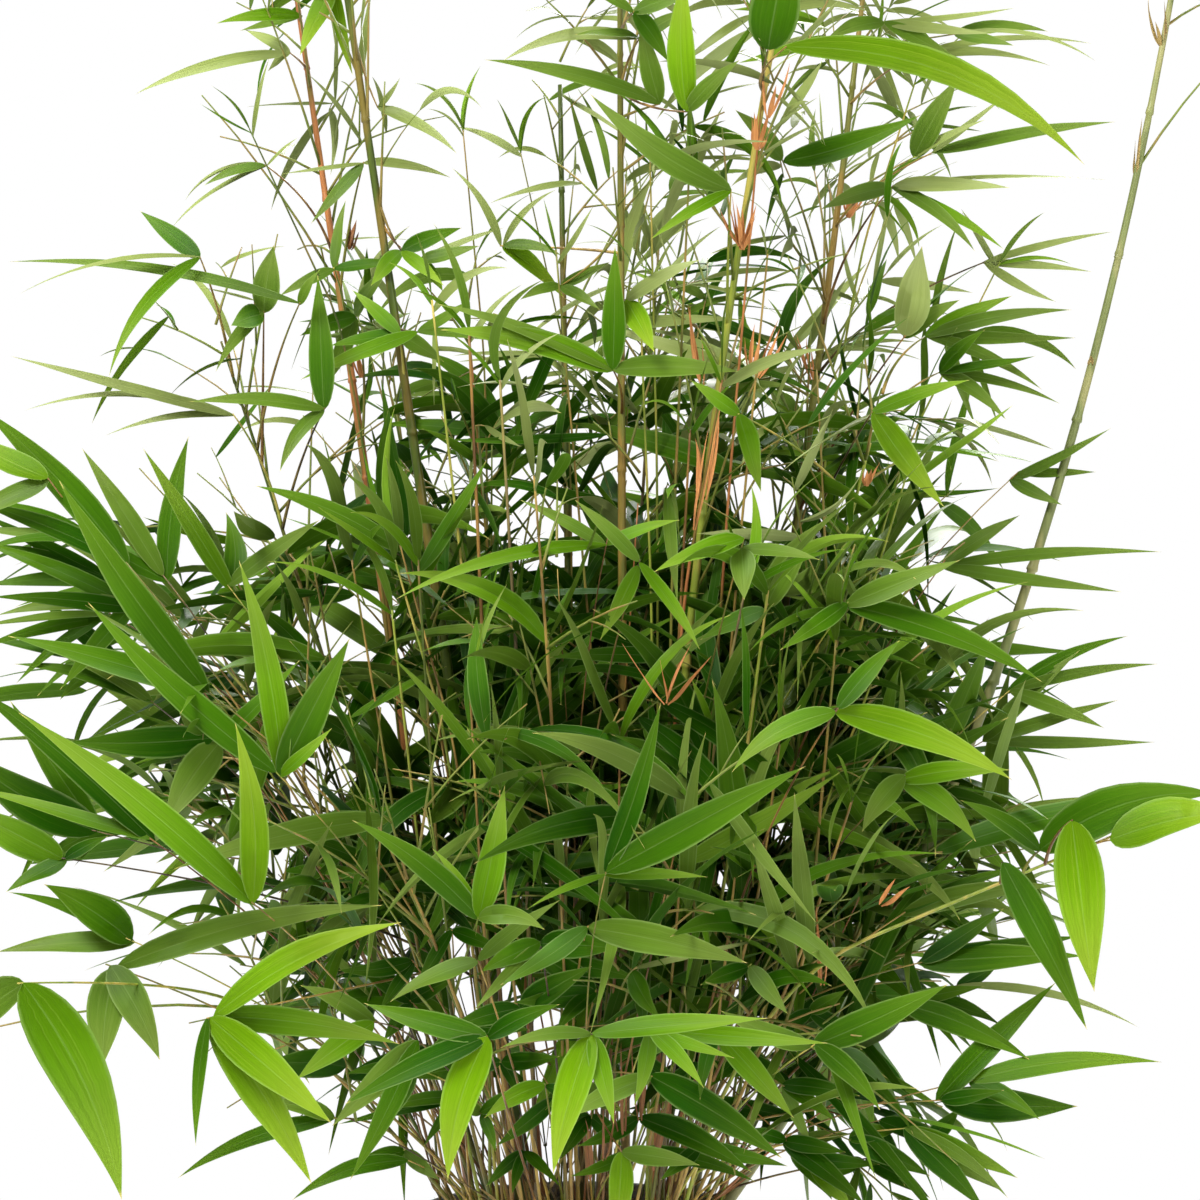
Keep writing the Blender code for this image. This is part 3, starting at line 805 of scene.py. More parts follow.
def tint(red, green, blue):
    """A colour from 0 to 255 a channel, as a screen shows it, to linear light."""
    return tuple(
        c / 12.92 if c <= 0.04045 else ((c + 0.055) / 1.055) ** 2.4
        for c in (red / 255, green / 255, blue / 255)
    )


def leaf_finish(name, body, pale, glow, gloss, roughness=0.42, share=0.30):
    """A blade: darker at its base as painted shade, paler to the tip partly as painted light, with
    blotches, fine veins and a pale rim that is partly a painted highlight.

    The map's whole rows give each blade a shade of its own. share is how much light goes through.
    """
    finish = Finish(name, roughness, Specular_IOR_Level=gloss)
    split = finish.node("ShaderNodeSeparateXYZ", None, {0: finish.place(kind="UV")})
    u = Reading(finish, split.outputs[0])
    row = Reading(finish, split.outputs[1])
    along = row.fraction() * (1 / MAP_SHARE)
    own = (row.whole() * OWN_SHADE_STEP).fraction()
    stripes = finish.noise(finish.place((16.0, 1.3, 1.0), "UV"))
    veins = finish.noise(finish.place((34.0, 1.0, 1.0), "UV"), detail=1.0)
    patches = finish.noise(finish.place(), 11.0)
    cloud = finish.noise(finish.place((40.0, 40.0, 40.0)))
    colour = finish.mix(patches.eased(0.34, 0.66), toned(body, 0.66), toned(body, 1.3))
    colour = finish.mix(cloud.eased(0.35, 0.65) * 0.4, colour, body)
    colour = finish.mix(own * 0.5, colour, toned(body, 1.25))
    # painted shade: the blade darkens towards its base
    colour = finish.mix(along.eased(0.50, 0.0) * 0.55, colour, toned(body, 0.45))
    # paler towards the tip: partly the leaf's own paler colour and partly painted light
    colour = finish.mix(along.eased(0.25, 1.0) * 0.55, colour, pale)
    colour = finish.mix(stripes.eased(0.42, 0.68) * 0.28, colour, toned(body, 0.52))
    colour = finish.mix(veins.eased(0.48, 0.72) * 0.16, colour, pale)
    off_middle = abs(u - 0.5)
    rib = off_middle.eased(0.03, 0.008)
    rim = off_middle.eased(0.42, 0.485)
    # a paler midrib, and a rim that is partly a pale margin and partly a painted highlight
    colour = finish.mix(rib * 0.09 + rim * 0.20, colour, PALE_RIM_AND_HIGHLIGHT)
    colour = finish.mix(along.eased(0.95, 0.995), colour, DRY_TIP)
    finish.paint(colour)
    normal = finish.bump((stripes + rib * 0.3) * along.eased(1.0, 0.6), 0.0002, 0.5)
    finish.glow_through(glow, share, normal)
    return finish.material


def toned(colour, times):
    """A colour made lighter or darker."""
    return tuple(min(1.0, channel * times) for channel in colour)


class Tone(NamedTuple):
    """A leaf's colours: upper and lower side, paler tip and rim, and the light through it."""

    name: str
    top: tuple
    below: tuple
    pale: tuple
    glow: tuple
    gloss: float


# deep, mid, fresh and bright are darker and lighter greens of one hue, which stand partly for painted shade
# and light
TONES = (
    Tone("deep", tint(27, 68, 0), tint(41, 79, 7), tint(82, 112, 26), tint(46, 106, 0), 0.04),
    Tone("mid", tint(49, 88, 1), tint(62, 96, 10), tint(96, 126, 30), tint(74, 127, 2), 0.06),
    Tone("dull", tint(75, 104, 22), tint(86, 110, 38), tint(120, 136, 62), tint(104, 136, 28), 0.08),
    Tone("fresh", tint(73, 113, 2), tint(88, 122, 24), tint(132, 154, 54), tint(118, 154, 14), 0.06),
    Tone("bright", tint(88, 127, 3), tint(100, 133, 20), tint(148, 164, 54), tint(136, 165, 14), 0.05),
    Tone("grey", tint(116, 130, 64), tint(124, 136, 80), tint(162, 170, 110), tint(144, 158, 80), 0.12),
)
OWN_SHADE_STEP = 0.377
# a pale leaf margin, partly a painted highlight
PALE_RIM_AND_HIGHLIGHT = tint(164, 186, 112)
DRY_TIP = tint(196, 180, 104)


def cane_finish(name, body, shade, band, roughness=0.38):
    """Polished cane skin: lengthwise streaks, blotches and paler bloom."""
    finish = Finish(name, roughness, Specular_IOR_Level=0.22)
    streaks = finish.noise(finish.place((260.0, 260.0, 14.0)))
    blotches = finish.noise(finish.place((60.0, 60.0, 18.0)), detail=3.0)
    colour = finish.mix(streaks.eased(0.3, 0.7) * 0.55, body, shade)
    colour = finish.mix(blotches.eased(0.46, 0.62) * 0.8, colour, band)
    finish.paint(colour)
    finish.bump(streaks, 0.0003, 0.5)
    return finish.material


SKINS = {
    "green": (tint(64, 78, 22), tint(30, 38, 8), tint(100, 84, 34)),
    "sage": (tint(104, 112, 64), tint(74, 80, 42), tint(134, 130, 84)),
    "lime": (tint(120, 130, 44), tint(78, 92, 26), tint(160, 140, 68)),
    "olive": (tint(100, 100, 38), tint(58, 60, 20), tint(132, 104, 48)),
    "red": (tint(150, 96, 52), tint(96, 60, 30), tint(90, 86, 30)),
    "purple": (tint(100, 86, 54), tint(58, 50, 32), tint(122, 112, 56)),
    "straw": (tint(148, 124, 60), tint(96, 78, 34), tint(92, 70, 32)),
    "brown": (tint(92, 64, 30), tint(48, 34, 16), tint(132, 100, 48)),
    "dark": (tint(60, 48, 26), tint(32, 26, 14), tint(104, 88, 42)),
}


def two_tone(name, roughness, place, noise, edges, colours, relief):
    """A finish of two colours dealt by one noise, which also raises the surface."""
    finish = Finish(name, roughness)
    grain = finish.noise(finish.place(*place), *noise)
    finish.paint(finish.mix(grain.eased(*edges), *colours))
    return finish, finish.bump(grain, *relief)


def sheath_finish(name, body, shade):
    """Papery sheath: fibres along it."""
    stretch = ((18.0, 1.0, 1.0), "UV")
    finish, normal = two_tone(name, 0.7, stretch, (1.0, 2.0), (0.3, 0.7), (body, shade), (0.0004, 0.6))
    finish.glow_through(body, 0.25, normal)
    return finish.material


def soil_finish():
    """Dark crumbly mix with paler specks."""
    colours = (tint(34, 24, 16), tint(96, 70, 48))
    grain = (160.0, 6.0, 0.7)
    return two_tone("potting mix", 0.95, (), grain, (0.35, 0.7), colours, (0.002, 0.8))[0].material


def crumb_finish(name, *colours):
    """Fibrous lumps and bark."""
    stretch = ((90.0, 90.0, 240.0),)
    return two_tone(name, 0.9, stretch, (1.0, 4.0), (0.3, 0.7), colours, (0.0008, 0.6))[0].material


def plastic_finish():
    """Moulded matt plastic with a fine grain and a little dust in patches."""
    finish = Finish("pot plastic", 0.5)
    grain = finish.noise(finish.place(), 1400.0)
    dust = finish.noise(finish.place((30.0, 30.0, 12.0)), detail=4.0)
    colour = finish.mix(dust.eased(0.45, 0.8) * 0.35, tint(44, 45, 46), tint(78, 74, 68))
    finish.paint(colour)
    finish.feed(finish.surface.inputs["Roughness"], dust * 0.25 + 0.42)
    finish.bump(grain, 0.0002, 0.4)
    return finish.material


# ================================================================ the front's sheaths


class Fan(NamedTuple):
    """A fan of papery sheaths. place is a point of the view's grid, or a cane and a share of it."""

    place: tuple
    depth: float
    count: int
    length: float
    spread: float
    lean: float
    kind: str = "orange"


FANS = (
    Fan((742, 250), -0.115, 7, 0.026, 15, 2),
    Fan((740, 246), -0.118, 4, 0.022, 22, -4),
    Fan((757, 150), -0.115, 5, 0.024, 18, 8),
    Fan((768, 118), -0.115, 3, 0.028, 16, 12),
    Fan((750, 372), -0.115, 3, 0.026, 10, 4),
    Fan((758, 378), -0.115, 3, 0.036, 6, 26),
    Fan((812, 380), 0.035, 4, 0.036, 8, -14),
    Fan((848, 218), 0.045, 5, 0.020, 18, 14),
    Fan((694, 530), -0.130, 2, 0.070, 2, 9),
    Fan((706, 500), -0.130, 2, 0.060, 2, 8),
    Fan((698, 500), -0.128, 1, 0.030, 3, -2),
    Fan((702, 386), -0.100, 3, 0.040, 4, -7),
    Fan((666, 704), -0.185, 2, 0.038, 12, -24),
    Fan((667, 704), -0.187, 2, 0.034, 12, 30),
    Fan((866, 486), -0.080, 4, 0.014, 20, 6),
    Fan((822, 985), -0.160, 3, 0.040, 4, 0),
    Fan((350, 250), 0.030, 3, 0.016, 10, 16, "brown"),
    Fan((362, 378), 0.020, 3, 0.026, 6, -12),
    Fan((880, 905), -0.190, 2, 0.018, 14, 46),
    Fan(("tall_far_right", 0.926), 0.0, 3, 0.027, 9, -12, "straw"),
    Fan(("tall_far_right", 0.844), 0.0, 2, 0.034, 4, 2, "straw"),
    Fan(("tall_far_right", 0.72), 0.0, 2, 0.011, 26, 10, "straw"),
    Fan(("tall_far_right", 0.56), 0.0, 2, 0.010, 16, 8, "straw"),
    Fan((604, 1160), -0.170, 2, 0.050, 5, 4, "brown"),
    Fan((622, 1140), -0.165, 3, 0.050, 6, -3, "brown"),
    Fan((640, 1120), -0.160, 3, 0.044, 8, 2, "brown"),
    Fan((652, 1170), -0.150, 2, 0.050, 6, 8, "brown"),
    Fan((590, 1180), -0.140, 2, 0.040, 6, -6, "brown"),
    Fan((672, 1130), -0.140, 2, 0.036, 8, 12, "brown"),
)
FAN_WIDTH = 0.0034
WIDE_TO = 0.026  # fans longer than this have narrower sheaths
SHEATH_WIDTH = 0.0019


def fan_base(fan):
    """Where a fan's sheaths grow from."""
    first, second = fan.place
    if first in CANE_NAMED:
        return cane_point(CANE_NAMED[first], second)
    return seen(first, second, fan.depth)


# ================================================================ the front's own shoots


class Shoot(NamedTuple):
    """A thin shoot that ends in a hand of leaves, each (across, down, width, arch, tone).

    start is a cane and a share of it, or a foot in the soil. hub is where it shows at its end.
    A leaf runs from the hub to where its tip shows. arch is how far its slope falls, in degrees.
    """

    start: tuple
    hub: tuple
    depth: float
    leaves: tuple


DEEP, MID, DULL, FRESH, BRIGHT, GREY = range(6)
SOIL = ("soil", 0.0)
# Each leaf's tone follows how light or dark it shows, so it is partly its own colour and partly painted
# light and shade
SHOOT_ROWS = (
    # left side
    (SOIL, 276, 772, -0.26, (88, 602, 30, 4, MID), (239, 560, 28, 2, FRESH), (350, 638, 36, 2, MID),
        (332, 728, 15, 6, FRESH)),
    (SOIL, 205, 690, -0.22, (59, 480, 34, 5, MID), (8, 636, 26, 6, MID)),
    (SOIL, 252, 902, -0.27, (235, 722, 30, 2, BRIGHT), (18, 712, 34, 8, FRESH)),
    (SOIL, 214, 737, -0.16, (67, 742, 33, 4, DEEP), (165, 828, 36, 20, DULL), (300, 660, 20, 6, MID)),
    (SOIL, 163, 575, -0.1, (82, 448, 22, 3, DULL), (189, 436, 24, 2, MID), (40, 520, 20, 8, MID)),
    (SOIL, 228, 585, -0.12, (143, 448, 20, 4, FRESH), (226, 512, 24, 4, MID), (320, 520, 20, 10, DULL)),
    (SOIL, 126, 562, -0.12, (-22, 405, 32, 6, MID), (-30, 500, 22, 10, DEEP)),
    (("low_4", 0.9), 48, 478, -0.14, (-45, 432, 28, 5, BRIGHT), (-40, 520, 22, 8, DULL)),
    (SOIL, 135, 602, -0.08, (-10, 597, 18, 8, DEEP), (-5, 616, 18, 8, DULL), (-25, 540, 20, 8, MID),
        (60, 690, 22, 14, MID)),
    (SOIL, 92, 830, -0.1, (-45, 745, 44, 6, DEEP), (10, 700, 26, 6, MID)),
    (SOIL, 104, 572, -0.04, (-20, 512, 16, 8, DEEP), (-22, 544, 20, 8, DEEP), (-18, 586, 18, 8, MID),
        (66, 480, 14, 4, DEEP)),
    (SOIL, 110, 655, -0.05, (-10, 640, 18, 8, DEEP), (40, 600, 20, 6, DEEP), (60, 700, 18, 12, MID)),
    (SOIL, 86, 532, -0.06, (-34, 500, 13, 6, MID), (-34, 528, 14, 8, DULL), (-30, 556, 12, 8, MID)),
    (SOIL, 108, 612, -0.05, (-24, 650, 14, 10, MID), (16, 684, 14, 18, MID), (-30, 628, 12, 8, DULL)),
    (SOIL, 150, 700, -0.06, (14, 664, 18, 8, MID), (48, 650, 16, 8, DULL)),
    # low on the left
    (("low_5", 0.8), 18, 983, -0.33, (122, 1200, 60, 12, FRESH), (-50, 1040, 40, 14, DULL)),
    (SOIL, 106, 964, -0.24, (104, 1068, 40, 24, DULL), (160, 1060, 34, 20, DULL), (384, 905, 28, 14, DULL)),
    (SOIL, 207, 1018, -0.31, (332, 1123, 38, 10, BRIGHT), (312, 1184, 40, 10, BRIGHT),
        (402, 922, 36, 14, BRIGHT), (400, 1044, 30, 12, FRESH), (196, 1146, 14, 4, MID)),
    (SOIL, 150, 838, -0.17, (-32, 684, 30, 6, DEEP), (-34, 786, 16, 6, FRESH)),
    (SOIL, 62, 858, -0.2, (-50, 800, 40, 16, FRESH), (108, 836, 14, 4, DEEP), (6, 892, 20, 20, MID)),
    (SOIL, 126, 938, -0.12, (-4, 952, 24, 8, DULL), (44, 884, 38, 4, MID), (8, 892, 14, 8, MID)),
    (SOIL, 334, 1118, -0.16, (178, 1178, 18, 30, MID), (262, 1102, 18, 8, DULL)),
    (SOIL, 408, 1160, -0.14, (292, 1200, 18, 20, MID)),
    (SOIL, 374, 1022, -0.2, (296, 1080, 26, 10, FRESH), (300, 985, 20, 8, DULL)),
    (SOIL, 418, 1040, -0.22, (332, 1126, 28, 10, DULL), (350, 1180, 24, 8, MID)),
    # low in the middle
    (SOIL, 478, 918, -0.27, (505, 785, 30, 2, FRESH), (352, 820, 26, 6, MID), (432, 848, 12, 4, FRESH),
        (545, 930, 20, 46, DULL)),
    (SOIL, 606, 872, -0.31, (806, 766, 36, 8, MID), (661, 702, 24, 3, DEEP), (526, 910, 9, 6, FRESH),
        (708, 877, 13, 6, FRESH)),
    (SOIL, 588, 926, -0.25, (748, 963, 32, 22, DULL), (500, 985, 24, 12, MID)),
    (SOIL, 487, 1036, -0.35, (448, 1180, 40, 10, BRIGHT), (364, 1003, 26, 6, MID),
        (345, 1104, 26, 14, DEEP), (560, 1004, 20, 8, DEEP)),
    (SOIL, 592, 1034, -0.375, (553, 1174, 36, 8, BRIGHT), (768, 1018, 24, 8, FRESH),
        (500, 1048, 14, 10, DULL), (614, 1124, 22, 10, FRESH)),
    (SOIL, 650, 1028, -0.26, (634, 1106, 20, 12, FRESH), (704, 1088, 18, 16, FRESH),
        (735, 1058, 14, 12, FRESH)),
    (SOIL, 652, 1076, -0.24, (782, 1158, 34, 16, DEEP), (560, 1120, 22, 10, DULL)),
    (SOIL, 478, 960, -0.24, (390, 1002, 22, 14, DULL), (560, 900, 16, 10, DULL)),
    (SOIL, 622, 1152, -0.2, (614, 1240, 26, 4, BRIGHT), (700, 1165, 20, 12, DULL)),
    # at the foot, mostly deep tones as painted shade
    (SOIL, 578, 1082, -0.15, (624, 1112, 20, 14, DULL), (545, 1110, 12, 10, MID)),
    (SOIL, 640, 1118, -0.16, (752, 1172, 28, 14, DEEP), (577, 1146, 18, 10, DEEP)),
    (SOIL, 628, 1152, -0.14, (756, 1182, 18, 12, DEEP), (570, 1176, 14, 10, MID)),
    (SOIL, 700, 1146, -0.14, (788, 1166, 18, 10, MID), (660, 1180, 16, 12, DEEP)),
    (SOIL, 480, 1112, -0.16, (540, 1086, 16, 6, MID), (448, 1094, 14, 6, DULL), (496, 1152, 12, 8, MID)),
    (SOIL, 792, 1150, -0.13, (832, 1200, 22, 10, MID), (852, 1134, 16, 8, DULL)),
    (SOIL, 404, 1150, -0.12, (346, 1168, 18, 8, MID), (440, 1180, 16, 8, DULL)),
    (SOIL, 850, 1140, -0.15, (930, 1176, 24, 12, DEEP), (900, 1130, 20, 8, MID)),
    (SOIL, 880, 1120, -0.14, (968, 1160, 26, 10, DEEP), (905, 1186, 20, 14, DEEP)),
    (SOIL, 930, 1140, -0.12, (1000, 1190, 24, 12, DULL), (960, 1108, 18, 6, DEEP)),
    (SOIL, 868, 1158, -0.12, (930, 1198, 20, 8, DEEP), (826, 1180, 14, 10, MID)),
    (SOIL, 414, 1068, -0.17, (373, 1138, 22, 6, MID), (345, 1074, 14, 8, DEEP), (468, 1044, 20, 4, DEEP)),
    (SOIL, 545, 1084, -0.19, (484, 1118, 20, 10, FRESH), (600, 1100, 14, 8, DEEP)),
    (SOIL, 556, 1098, -0.14, (496, 1146, 18, 8, DEEP), (612, 1086, 12, 6, DEEP)),
    (SOIL, 672, 1030, -0.25, (828, 1043, 20, 12, FRESH), (646, 1060, 16, 10, MID)),
    (SOIL, 718, 1032, -0.22, (794, 1118, 26, 8, FRESH), (700, 1100, 16, 8, DEEP)),
    (SOIL, 751, 964, -0.2, (788, 1014, 20, 4, DULL), (700, 985, 18, 8, DEEP)),
    (SOIL, 784, 1086, -0.16, (812, 1148, 14, 6, DULL), (860, 1096, 20, 8, DEEP), (836, 1122, 16, 10, MID)),
    (SOIL, 786, 1140, -0.15, (866, 1206, 22, 10, DEEP), (846, 1152, 18, 8, DEEP), (742, 1130, 14, 6, DEEP)),
    (SOIL, 812, 1160, -0.15, (852, 1208, 22, 8, FRESH), (880, 1164, 16, 10, DEEP)),
    (SOIL, 540, 942, -0.22, (480, 972, 24, 12, MID), (474, 1010, 14, 6, DULL), (618, 948, 30, 8, DEEP)),
    (SOIL, 560, 965, -0.16, (600, 1006, 28, 6, DEEP), (640, 980, 20, 8, DEEP)),
    (SOIL, 632, 968, -0.19, (660, 1018, 22, 10, MID), (776, 936, 8, 8, GREY)),
    (SOIL, 452, 930, -0.18, (416, 986, 18, 4, DEEP), (500, 950, 18, 8, DEEP)),
    (SOIL, 412, 960, -0.16, (338, 970, 18, 8, DEEP), (380, 1010, 14, 8, DEEP)),
    (SOIL, 470, 1028, -0.18, (530, 1030, 18, 8, DEEP), (420, 1060, 18, 10, DEEP)),
    (SOIL, 700, 1062, -0.12, (648, 1110, 20, 6, DEEP), (748, 1076, 16, 8, DEEP)),
    (SOIL, 500, 1062, -0.15, (404, 1078, 24, 6, DEEP), (560, 1056, 20, 6, DEEP), (520, 1100, 14, 6, DEEP)),
    (SOIL, 462, 1096, -0.13, (372, 1112, 14, 6, MID), (338, 1124, 12, 8, DEEP), (424, 1146, 12, 6, DEEP)),
    (SOIL, 590, 1116, -0.13, (560, 1160, 16, 6, DEEP), (622, 1146, 18, 8, DEEP), (548, 1128, 14, 6, DEEP)),
    (SOIL, 524, 1150, -0.12, (486, 1186, 14, 6, DEEP), (560, 1186, 14, 8, MID), (512, 1194, 12, 4, DEEP)),
    (SOIL, 640, 1060, -0.13, (690, 1096, 20, 8, DEEP), (606, 1098, 18, 6, DEEP), (668, 1034, 18, 6, DEEP)),
    (SOIL, 596, 990, -0.17, (520, 946, 26, 8, DEEP), (512, 1002, 24, 8, DEEP), (556, 1034, 18, 8, DEEP)),
    (SOIL, 520, 1008, -0.18, (592, 966, 28, 8, DEEP), (448, 1030, 22, 8, DEEP)),
    (SOIL, 410, 1000, -0.14, (350, 962, 22, 6, DEEP), (456, 978, 18, 6, DEEP), (384, 1040, 18, 8, DEEP)),
    (SOIL, 744, 1056, -0.12, (790, 1088, 18, 8, DEEP), (706, 1090, 16, 8, DEEP), (776, 1030, 16, 6, DEEP)),
    (SOIL, 812, 1010, -0.13, (862, 1050, 20, 8, DEEP), (770, 1040, 16, 8, DEEP), (846, 990, 16, 6, MID)),
    # right side
    (SOIL, 922, 962, -0.17, (1086, 956, 34, 8, MID), (1080, 936, 24, 8, DEEP), (1004, 908, 22, 5, DEEP)),
    (SOIL, 905, 912, -0.15, (1060, 886, 22, 8, DULL), (1024, 912, 14, 8, DULL), (1030, 866, 14, 6, MID)),
    (SOIL, 958, 985, -0.08, (1138, 1027, 9, 24, GREY), (1000, 962, 14, 8, DEEP)),
    (SOIL, 905, 1000, -0.15, (1030, 1060, 28, 14, MID), (1002, 1026, 24, 12, DEEP), (984, 986, 16, 8, MID)),
    (SOIL, 905, 1128, -0.15, (1018, 1178, 22, 14, FRESH), (985, 1210, 28, 12, DEEP),
        (1008, 1198, 14, 14, DULL)),
    (("right_branch", 0.8), 1040, 850, -0.2, (1218, 794, 46, 36, MID), (960, 800, 20, 8, MID)),
    (("right_branch", 0.93), 1110, 840, -0.21, (1236, 812, 50, 10, BRIGHT)),
    (("right_branch", 0.88), 1072, 820, -0.25, (1090, 992, 50, 8, BRIGHT)),
    (("right_branch", 0.76), 1002, 862, -0.25, (1087, 1030, 38, 18, MID)),
    (SOIL, 815, 1044, -0.25, (948, 984, 32, 6, MID), (720, 1010, 22, 8, DULL), (880, 1110, 24, 14, MID)),
    (SOIL, 942, 1100, -0.16, (1056, 982, 26, 3, MID), (1078, 1106, 36, 6, DEEP), (1004, 1090, 16, 6, DEEP)),
    (SOIL, 972, 1080, -0.16, (1162, 1062, 24, 22, FRESH), (1040, 1120, 20, 10, MID)),
    (SOIL, 838, 708, -0.24, (1012, 780, 34, 26, BRIGHT), (732, 772, 26, 40, FRESH), (900, 640, 22, 6, MID)),
    (SOIL, 905, 775, -0.2, (976, 842, 26, 20, FRESH), (1010, 770, 22, 14, FRESH), (862, 832, 24, 18, DULL)),
    (SOIL, 848, 602, -0.18, (1042, 682, 32, 22, MID), (960, 560, 24, 6, DULL), (780, 650, 20, 10, MID)),
    (SOIL, 744, 538, -0.2, (654, 572, 24, 12, FRESH), (744, 600, 26, 16, DULL), (820, 560, 16, 12, DULL)),
    (SOIL, 768, 604, -0.14, (824, 520, 30, 3, DULL), (700, 640, 20, 14, MID)),
    (SOIL, 608, 536, -0.18, (395, 600, 15, 32, FRESH), (520, 500, 14, 8, DULL), (680, 520, 14, 12, FRESH)),
    (SOIL, 640, 560, -0.2, (600, 640, 18, 10, FRESH), (700, 650, 16, 20, FRESH), (575, 500, 16, 6, DULL)),
    (SOIL, 1010, 690, -0.03, (1158, 664, 12, 8, DULL), (1128, 636, 14, 6, MID), (1104, 728, 16, 10, DULL)),
    (("arch_right", 0.9), 940, 372, -0.05, (1060, 404, 13, 14, DULL), (1036, 356, 14, 8, MID),
        (1006, 420, 16, 14, DULL), (985, 330, 16, 6, MID)),
    # top
    (("tall_centre", 0.74), 500, 246, -0.06, (564, 298, 20, 20, BRIGHT), (562, 256, 12, 22, DULL),
        (452, 168, 10, 10, GREY), (556, 190, 7, 30, GREY)),
    (("tall_left", 0.74), 420, 262, -0.04, (480, 246, 16, 8, DULL), (443, 292, 18, 10, FRESH),
        (504, 228, 8, 10, GREY)),
    (("tall_left", 0.66), 418, 332, -0.06, (300, 380, 18, 14, FRESH), (520, 345, 10, 12, DULL),
        (470, 300, 12, 6, DULL)),
    (("tall_red", 0.66), 334, 268, -0.02, (280, 296, 14, 20, DULL), (398, 262, 14, 10, MID),
        (346, 200, 12, 4, DULL)),
    (("tall_centre", 0.76), 560, 286, -0.06, (610, 262, 12, 8, DULL), (520, 300, 12, 16, DULL),
        (600, 310, 14, 16, DULL)),
    (("tall_front", 0.9), 786, 47, -0.2, (1085, 166, 46, 44, BRIGHT)),
    (("tall_centre", 0.86), 687, 112, -0.16, (685, -30, 30, 1, BRIGHT), (740, 60, 18, 6, DULL)),
    (("tall_front", 0.9), 768, 50, -0.17, (790, -62, 50, 1, MID)),
    (("tall_front", 0.72), 731, 190, -0.15, (590, 94, 28, 8, DULL), (650, 240, 14, 20, FRESH)),
    (("tall_centre", 0.84), 660, 104, -0.1, (484, 60, 17, 12, DULL), (640, 20, 22, 4, DULL)),
    (("tall_centre", 0.86), 640, 38, -0.1, (502, 62, 15, 44, GREY), (575, 35, 14, 6, DULL),
        (690, 10, 16, 8, DULL)),
    (("tall_centre", 0.62), 613, 370, -0.13, (615, 246, 25, 1, MID), (436, 304, 18, 10, DULL),
        (440, 330, 28, 8, FRESH), (740, 372, 24, 22, DULL)),
    (("tall_centre", 0.66), 626, 300, -0.12, (654, 352, 26, 10, BRIGHT), (700, 260, 20, 26, GREY)),
    (("tall_right", 0.8), 915, 157, -0.06, (958, 78, 26, 2, DULL), (985, 120, 10, 6, GREY)),
    (("tall_right", 0.72), 782, 160, -0.06, (921, 115, 26, 6, MID), (735, 110, 20, 6, DULL)),
    (("tall_right", 0.78), 932, 153, -0.04, (1116, 122, 18, 12, DULL), (1010, 92, 8, 4, GREY)),
    (("tall_right", 0.7), 893, 186, -0.04, (1010, 188, 18, 16, GREY), (1106, 180, 8, 10, GREY),
        (1004, 250, 14, 34, FRESH), (975, 252, 16, 26, DULL), (820, 210, 20, 10, DULL)),
    (("tall_right", 0.66), 985, 262, -0.02, (1112, 232, 8, 6, GREY), (1092, 272, 9, 10, GREY),
        (1056, 302, 10, 14, GREY)),
    (("tall_right", 0.92), 884, 22, -0.04, (992, 34, 12, 8, GREY), (962, 64, 15, 14, DULL),
        (1016, 8, 9, 4, GREY), (826, 40, 18, 8, DULL)),
    (("tall_right", 0.93), 956, 34, -0.03, (1048, 32, 14, 40, DULL), (1014, 46, 14, 20, DULL),
        (1096, 62, 5, 44, GREY)),
    (("tall_right", 0.88), 905, 60, -0.02, (1050, 66, 11, 16, GREY), (1092, 44, 8, 8, GREY),
        (1000, 110, 14, 20, DULL)),
    (("tall_right", 0.55), 905, 336, -0.08, (922, 246, 36, 1, GREY), (960, 300, 18, 14, DULL)),
    (("tall_right", 0.5), 872, 412, -0.14, (944, 507, 30, 14, BRIGHT), (970, 380, 18, 10, FRESH)),
    (("arch_right", 0.8), 738, 414, -0.14, (761, 492, 24, 10, FRESH), (690, 380, 16, 6, FRESH)),
    (("arch_right", 0.95), 926, 336, -0.04, (1072, 310, 15, 8, DULL), (1076, 338, 14, 10, DULL),
        (1042, 390, 13, 16, DULL), (1012, 296, 18, 8, FRESH)),
    (SOIL, 1018, 472, 0.0, (1111, 428, 14, 4, DULL), (1096, 472, 12, 6, DULL), (1062, 505, 14, 8, DULL)),
    (SOIL, 945, 560, -0.02, (1162, 552, 13, 6, DULL), (1122, 592, 16, 8, DULL), (1020, 515, 18, 8, DULL)),
    (SOIL, 985, 740, -0.02, (1155, 742, 13, 12, DULL), (1118, 700, 14, 6, DULL), (1080, 650, 20, 4, DULL)),
    (("tall_left", 0.62), 400, 334, -0.05, (330, 346, 20, 10, MID), (444, 362, 18, 12, DULL),
        (352, 290, 16, 6, FRESH)),
    (("tall_red", 0.6), 356, 316, 0.0, (300, 336, 18, 12, MID), (394, 262, 16, 6, DULL),
        (322, 392, 18, 10, DULL)),
    (("tall_centre", 0.9), 634, 12, -0.12, (562, -18, 16, 8, DULL), (668, 62, 20, 14, MID),
        (704, -12, 18, 6, DULL)),
    (("tall_red", 0.9), 290, 53, 0.02, (135, 95, 13, 40, GREY), (245, 30, 12, 4, GREY),
        (268, 72, 10, 14, GREY)),
    (("tall_red", 0.94), 302, 16, 0.02, (240, 31, 10, 8, DULL), (216, 24, 14, 14, FRESH)),
    (("tall_red", 0.97), 334, -14, -0.02, (300, 56, 24, 6, BRIGHT), (353, 76, 14, 3, BRIGHT)),
    (("arch_left", 0.8), 300, 303, -0.1, (8, 262, 12, 18, DULL), (320, 270, 12, 4, DULL)),
    (("arch_left", 0.9), 200, 257, -0.1, (140, 211, 20, 3, MID), (109, 378, 14, 30, FRESH),
        (20, 294, 9, 24, GREY)),
    (("arch_left", 0.78), 264, 312, -0.09, (274, 245, 28, 2, DULL), (231, 326, 26, 10, MID),
        (216, 372, 15, 12, DULL)),
